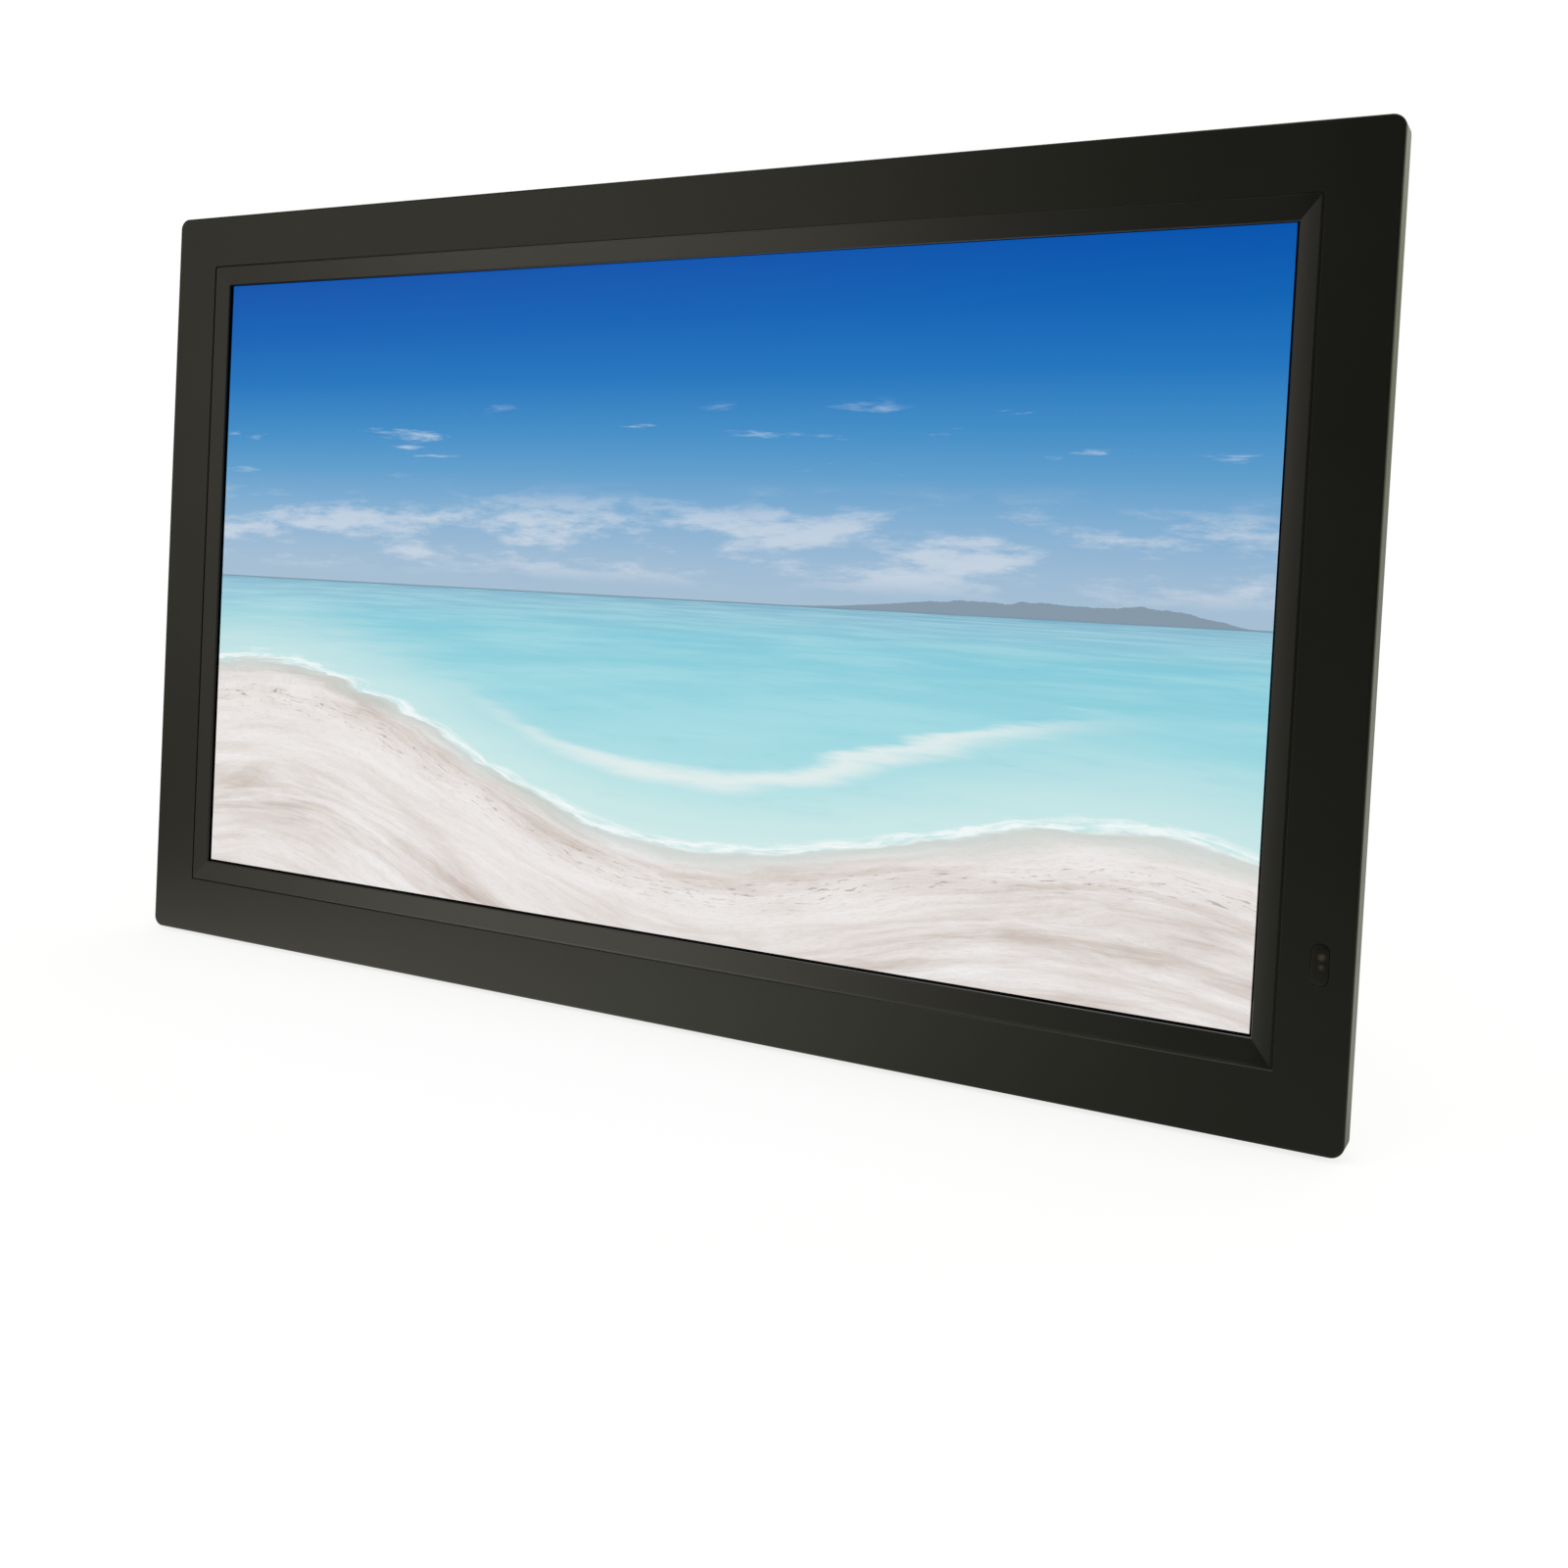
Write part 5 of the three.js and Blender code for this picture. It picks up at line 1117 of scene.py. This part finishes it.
for k, (x, z) in enumerate(SCREWS, 1):
    piece("screw_%d" % k, screw_head(x, z), "housing", "steel", ["cover_screw_%d" % k])
for k, (x, z) in enumerate(INSERTS, 1):
    piece("bush_%d" % k, threaded_bush(x, z), "housing", "brass", ["wall_insert_%d" % k])
for name, z in KEY_Z.items():
    piece("key_" + name, key_cap(z), name + "_key", "key_black", [name + "_button"])
    piece("mark_" + name, key_mark(name, z), name + "_key", "key_black", finish=MARK)
for s, side in ((-1, "left"), (1, "right")):
    piece("speaker_cloth_" + side, speaker_cloth(s), "housing", "component_black", finish=CLOTH)
for name, shape in socket_contacts().items():
    piece(name, shape, "housing", "brass", finish=GOLD)

for node, body, slot, width in [
    ("stand_leg", "leg", "rear_black", 0.45),
    ("leg_pad_left", "leg", "rubber_black", 0.35),
    ("leg_pad_right", "leg", "rubber_black", 0.35),
    ("foot_left", "housing", "rubber_black", 0.25),
    ("foot_right", "housing", "rubber_black", 0.25),
    ("leg_bracket", "housing", "steel", 0.12),
    ("hinge_pin", "housing", "steel", 0.2),
    ("hinge_washer_left", "housing", "steel", 0.12),
    ("hinge_washer_right", "housing", "steel", 0.12),
    ("switch_knob", "switch", "key_black", 0.25),
    ("dc_jack", "housing", "component_black", 0.15),
    ("audio_jack", "housing", "component_black", 0.15),
    ("usb_socket", "housing", "steel", 0.12),
    ("hdmi_socket", "housing", "steel", 0.12),
    ("card_slot", "housing", "steel", 0.12),
]:
    rounded_copy(node, body, slot, width)

for part in frame["record"]["subparts"]:
    node = part["node"]
    dress(frame["nodes"][node], NODE_FINISH.get(node) or SLOT_FINISH[part["material_slot"]])


# ---------------------------------------------------------------- floor, light and camera
def rays(net):
    """The kinds of ray: those of the camera or through glass, as one share, and those seen in gloss."""
    path = net.node("ShaderNodeLightPath", None).outputs
    return net.math("MAXIMUM", path["Is Camera Ray"], path["Is Transmission Ray"]), path["Is Glossy Ray"]


def painted_table_light(made, side, ahead, away):
    """Painted light on the table, seen only in gloss: bright behind the object; in front of it brightest
    left of the middle, and dark at the far left and towards the viewer."""
    spread = made.times(made.ramp(side, -0.5, -0.1, 0.0, 2.45), made.ramp(side, -0.05, 0.2, 1.0, 0.27))
    front = made.times(made.ramp(ahead, -0.6, -0.25, 0.03, 1.0), spread)
    near = made.node("ShaderNodeMix", 0, i0=made.ramp(ahead, -0.08, 0.0), i2=front, i3=1.5)
    level = made.times(near, made.ramp(away, 0.4, 2.5, 1.0, 0.85))
    tint = made.mix(made.ramp(side, -0.3, 0.1), (0.77, 0.7, 0.61, 1), (0.73, 0.74, 0.63, 1))
    return made.node("ShaderNodeEmission", Color=tint, Strength=level)


def floor_paper():
    """Grey paper under the lamps; the camera sees it pale, fading to plain white with distance, and gloss
    sees painted light on it.
    """
    made = Finish("floor_paper", Roughness=0.9, Specular_IOR_Level=0.1)
    clouds = made.noise(made.place, 0.02, 3)
    made.set("Base Color", made.mix(clouds, (0.36, 0.365, 0.34, 1), (0.40, 0.405, 0.38, 1)))
    here = made.node("ShaderNodeTexCoord", "Object")
    side, ahead, _ = made.split(here)
    away = made.node("ShaderNodeVectorMath", "Value", {"operation": "LENGTH"}, i0=here)
    white = made.node("ShaderNodeEmission", Color=WHITE, Strength=1.0)
    soft = made.node("ShaderNodeBsdfDiffuse", Color=(0.92, 0.92, 0.91, 1))
    seen = made.node("ShaderNodeMixShader", i0=made.ramp(away, 0.3, 0.85, 0.8, 1.0), i1=soft, i2=white)
    direct, glossy = rays(made)
    # painted reflection: gloss rays see emission laid out on the table instead of the lit paper
    painted_reflection = painted_table_light(made, side, ahead, away)
    other = made.node("ShaderNodeMixShader", i0=glossy, i1=made.shader.outputs[0], i2=painted_reflection)
    both = made.node("ShaderNodeMixShader", i0=direct, i1=other, i2=seen)
    made.feed(made.tree.nodes["Material Output"].inputs["Surface"], both)
    return made


def floor():
    """A wide flat disc a hair under the feet: rings of growing radius round a small cap."""
    rows = [at_height(circle(r, steps=96), -2e-4) for r in (0.02, 0.5, 1.0, 2.0, 4.0, 9.0)]
    points, faces = skin(rows)
    mesh = bpy.data.meshes.new("floor")
    mesh.from_pydata([tuple(p) for p in points], [], faces[:-1])
    obj = shown("floor", mesh)
    dress(obj, floor_paper())


def lamp(name, place, aim, size, watts, colour=(1, 1, 1)):
    """A rectangular lamp at a place in metres, turned to its aim and hidden from the camera."""
    data = bpy.data.lights.new(name, "AREA")
    data.shape, data.size, data.size_y = "RECTANGLE", *size
    data.energy, data.color = watts, colour
    obj = shown(name, data)
    obj.location = place
    obj.rotation_euler = (Vector(aim) - Vector(place)).to_track_quat("-Z", "Y").to_euler()
    obj.visible_camera = False


def surroundings():
    """White to the camera and through glass, pale to the rest; in gloss, dark before the object and
    bright behind it."""
    world = bpy.data.worlds.new("studio")
    bpy.context.scene.world = world
    world.use_nodes = True
    world.cycles.sampling_method = "NONE"
    net = Net(world.node_tree)
    way = net.split(net.node("ShaderNodeTexCoord", "Generated"))
    behind = net.ramp(way["Y"], -0.1, 0.7)
    level = net.ramp(way["Z"], 0.0, 0.6, 0.8, 1.0)
    gloss = net.math("MULTIPLY_ADD", behind, level, 0.02)
    direct, glossy = rays(net)
    backdrop = net.mix(gloss, BLACK, (0.99, 1.0, 0.72, 1))
    lit = net.mix(glossy, (0.9, 0.9, 0.88, 1), backdrop)
    net.feed(world.node_tree.nodes["Background"].inputs["Color"], net.mix(direct, lit, WHITE))


def camera():
    """A camera with a shifted lens, placed from the panel's lower middle."""
    data = bpy.data.cameras.new("camera")
    data.sensor_width, data.lens = 36.0, 37.9765
    data.shift_x, data.shift_y = 0.03154, -0.09225
    obj = shown("camera", data)
    obj.location = ORIGIN / 1000 + Vector((0.29636, -0.463331, 0.199739))
    obj.rotation_euler = np.radians([82.9511, 0.0579, 28.9065])
    bpy.context.scene.camera = obj


floor()
surroundings()
lamp("side_window", (-0.92, -1.0, 0.5), aim=(-0.92, 0.0, 0.5), size=(1.2, 1.5), watts=8.0,
     colour=(1.0, 0.935, 0.8))
lamp("right_panel", (1.25, 0.05, 0.35), aim=(0.23, 0.05, 0.15), size=(0.9, 0.9), watts=6.3,
     colour=(1.0, 1.0, 0.76))
lamp("overhead", (0.0, 0.15, 1.7), aim=(0.0, 0.0, 0.0), size=(1.2, 1.2), watts=5)
lamp("rear_fill", (0.9, 1.5, 1.0), aim=(0.0, 0.0, 0.12), size=(1.0, 1.0), watts=4)
camera()
bpy.context.scene.view_settings.view_transform = "Standard"
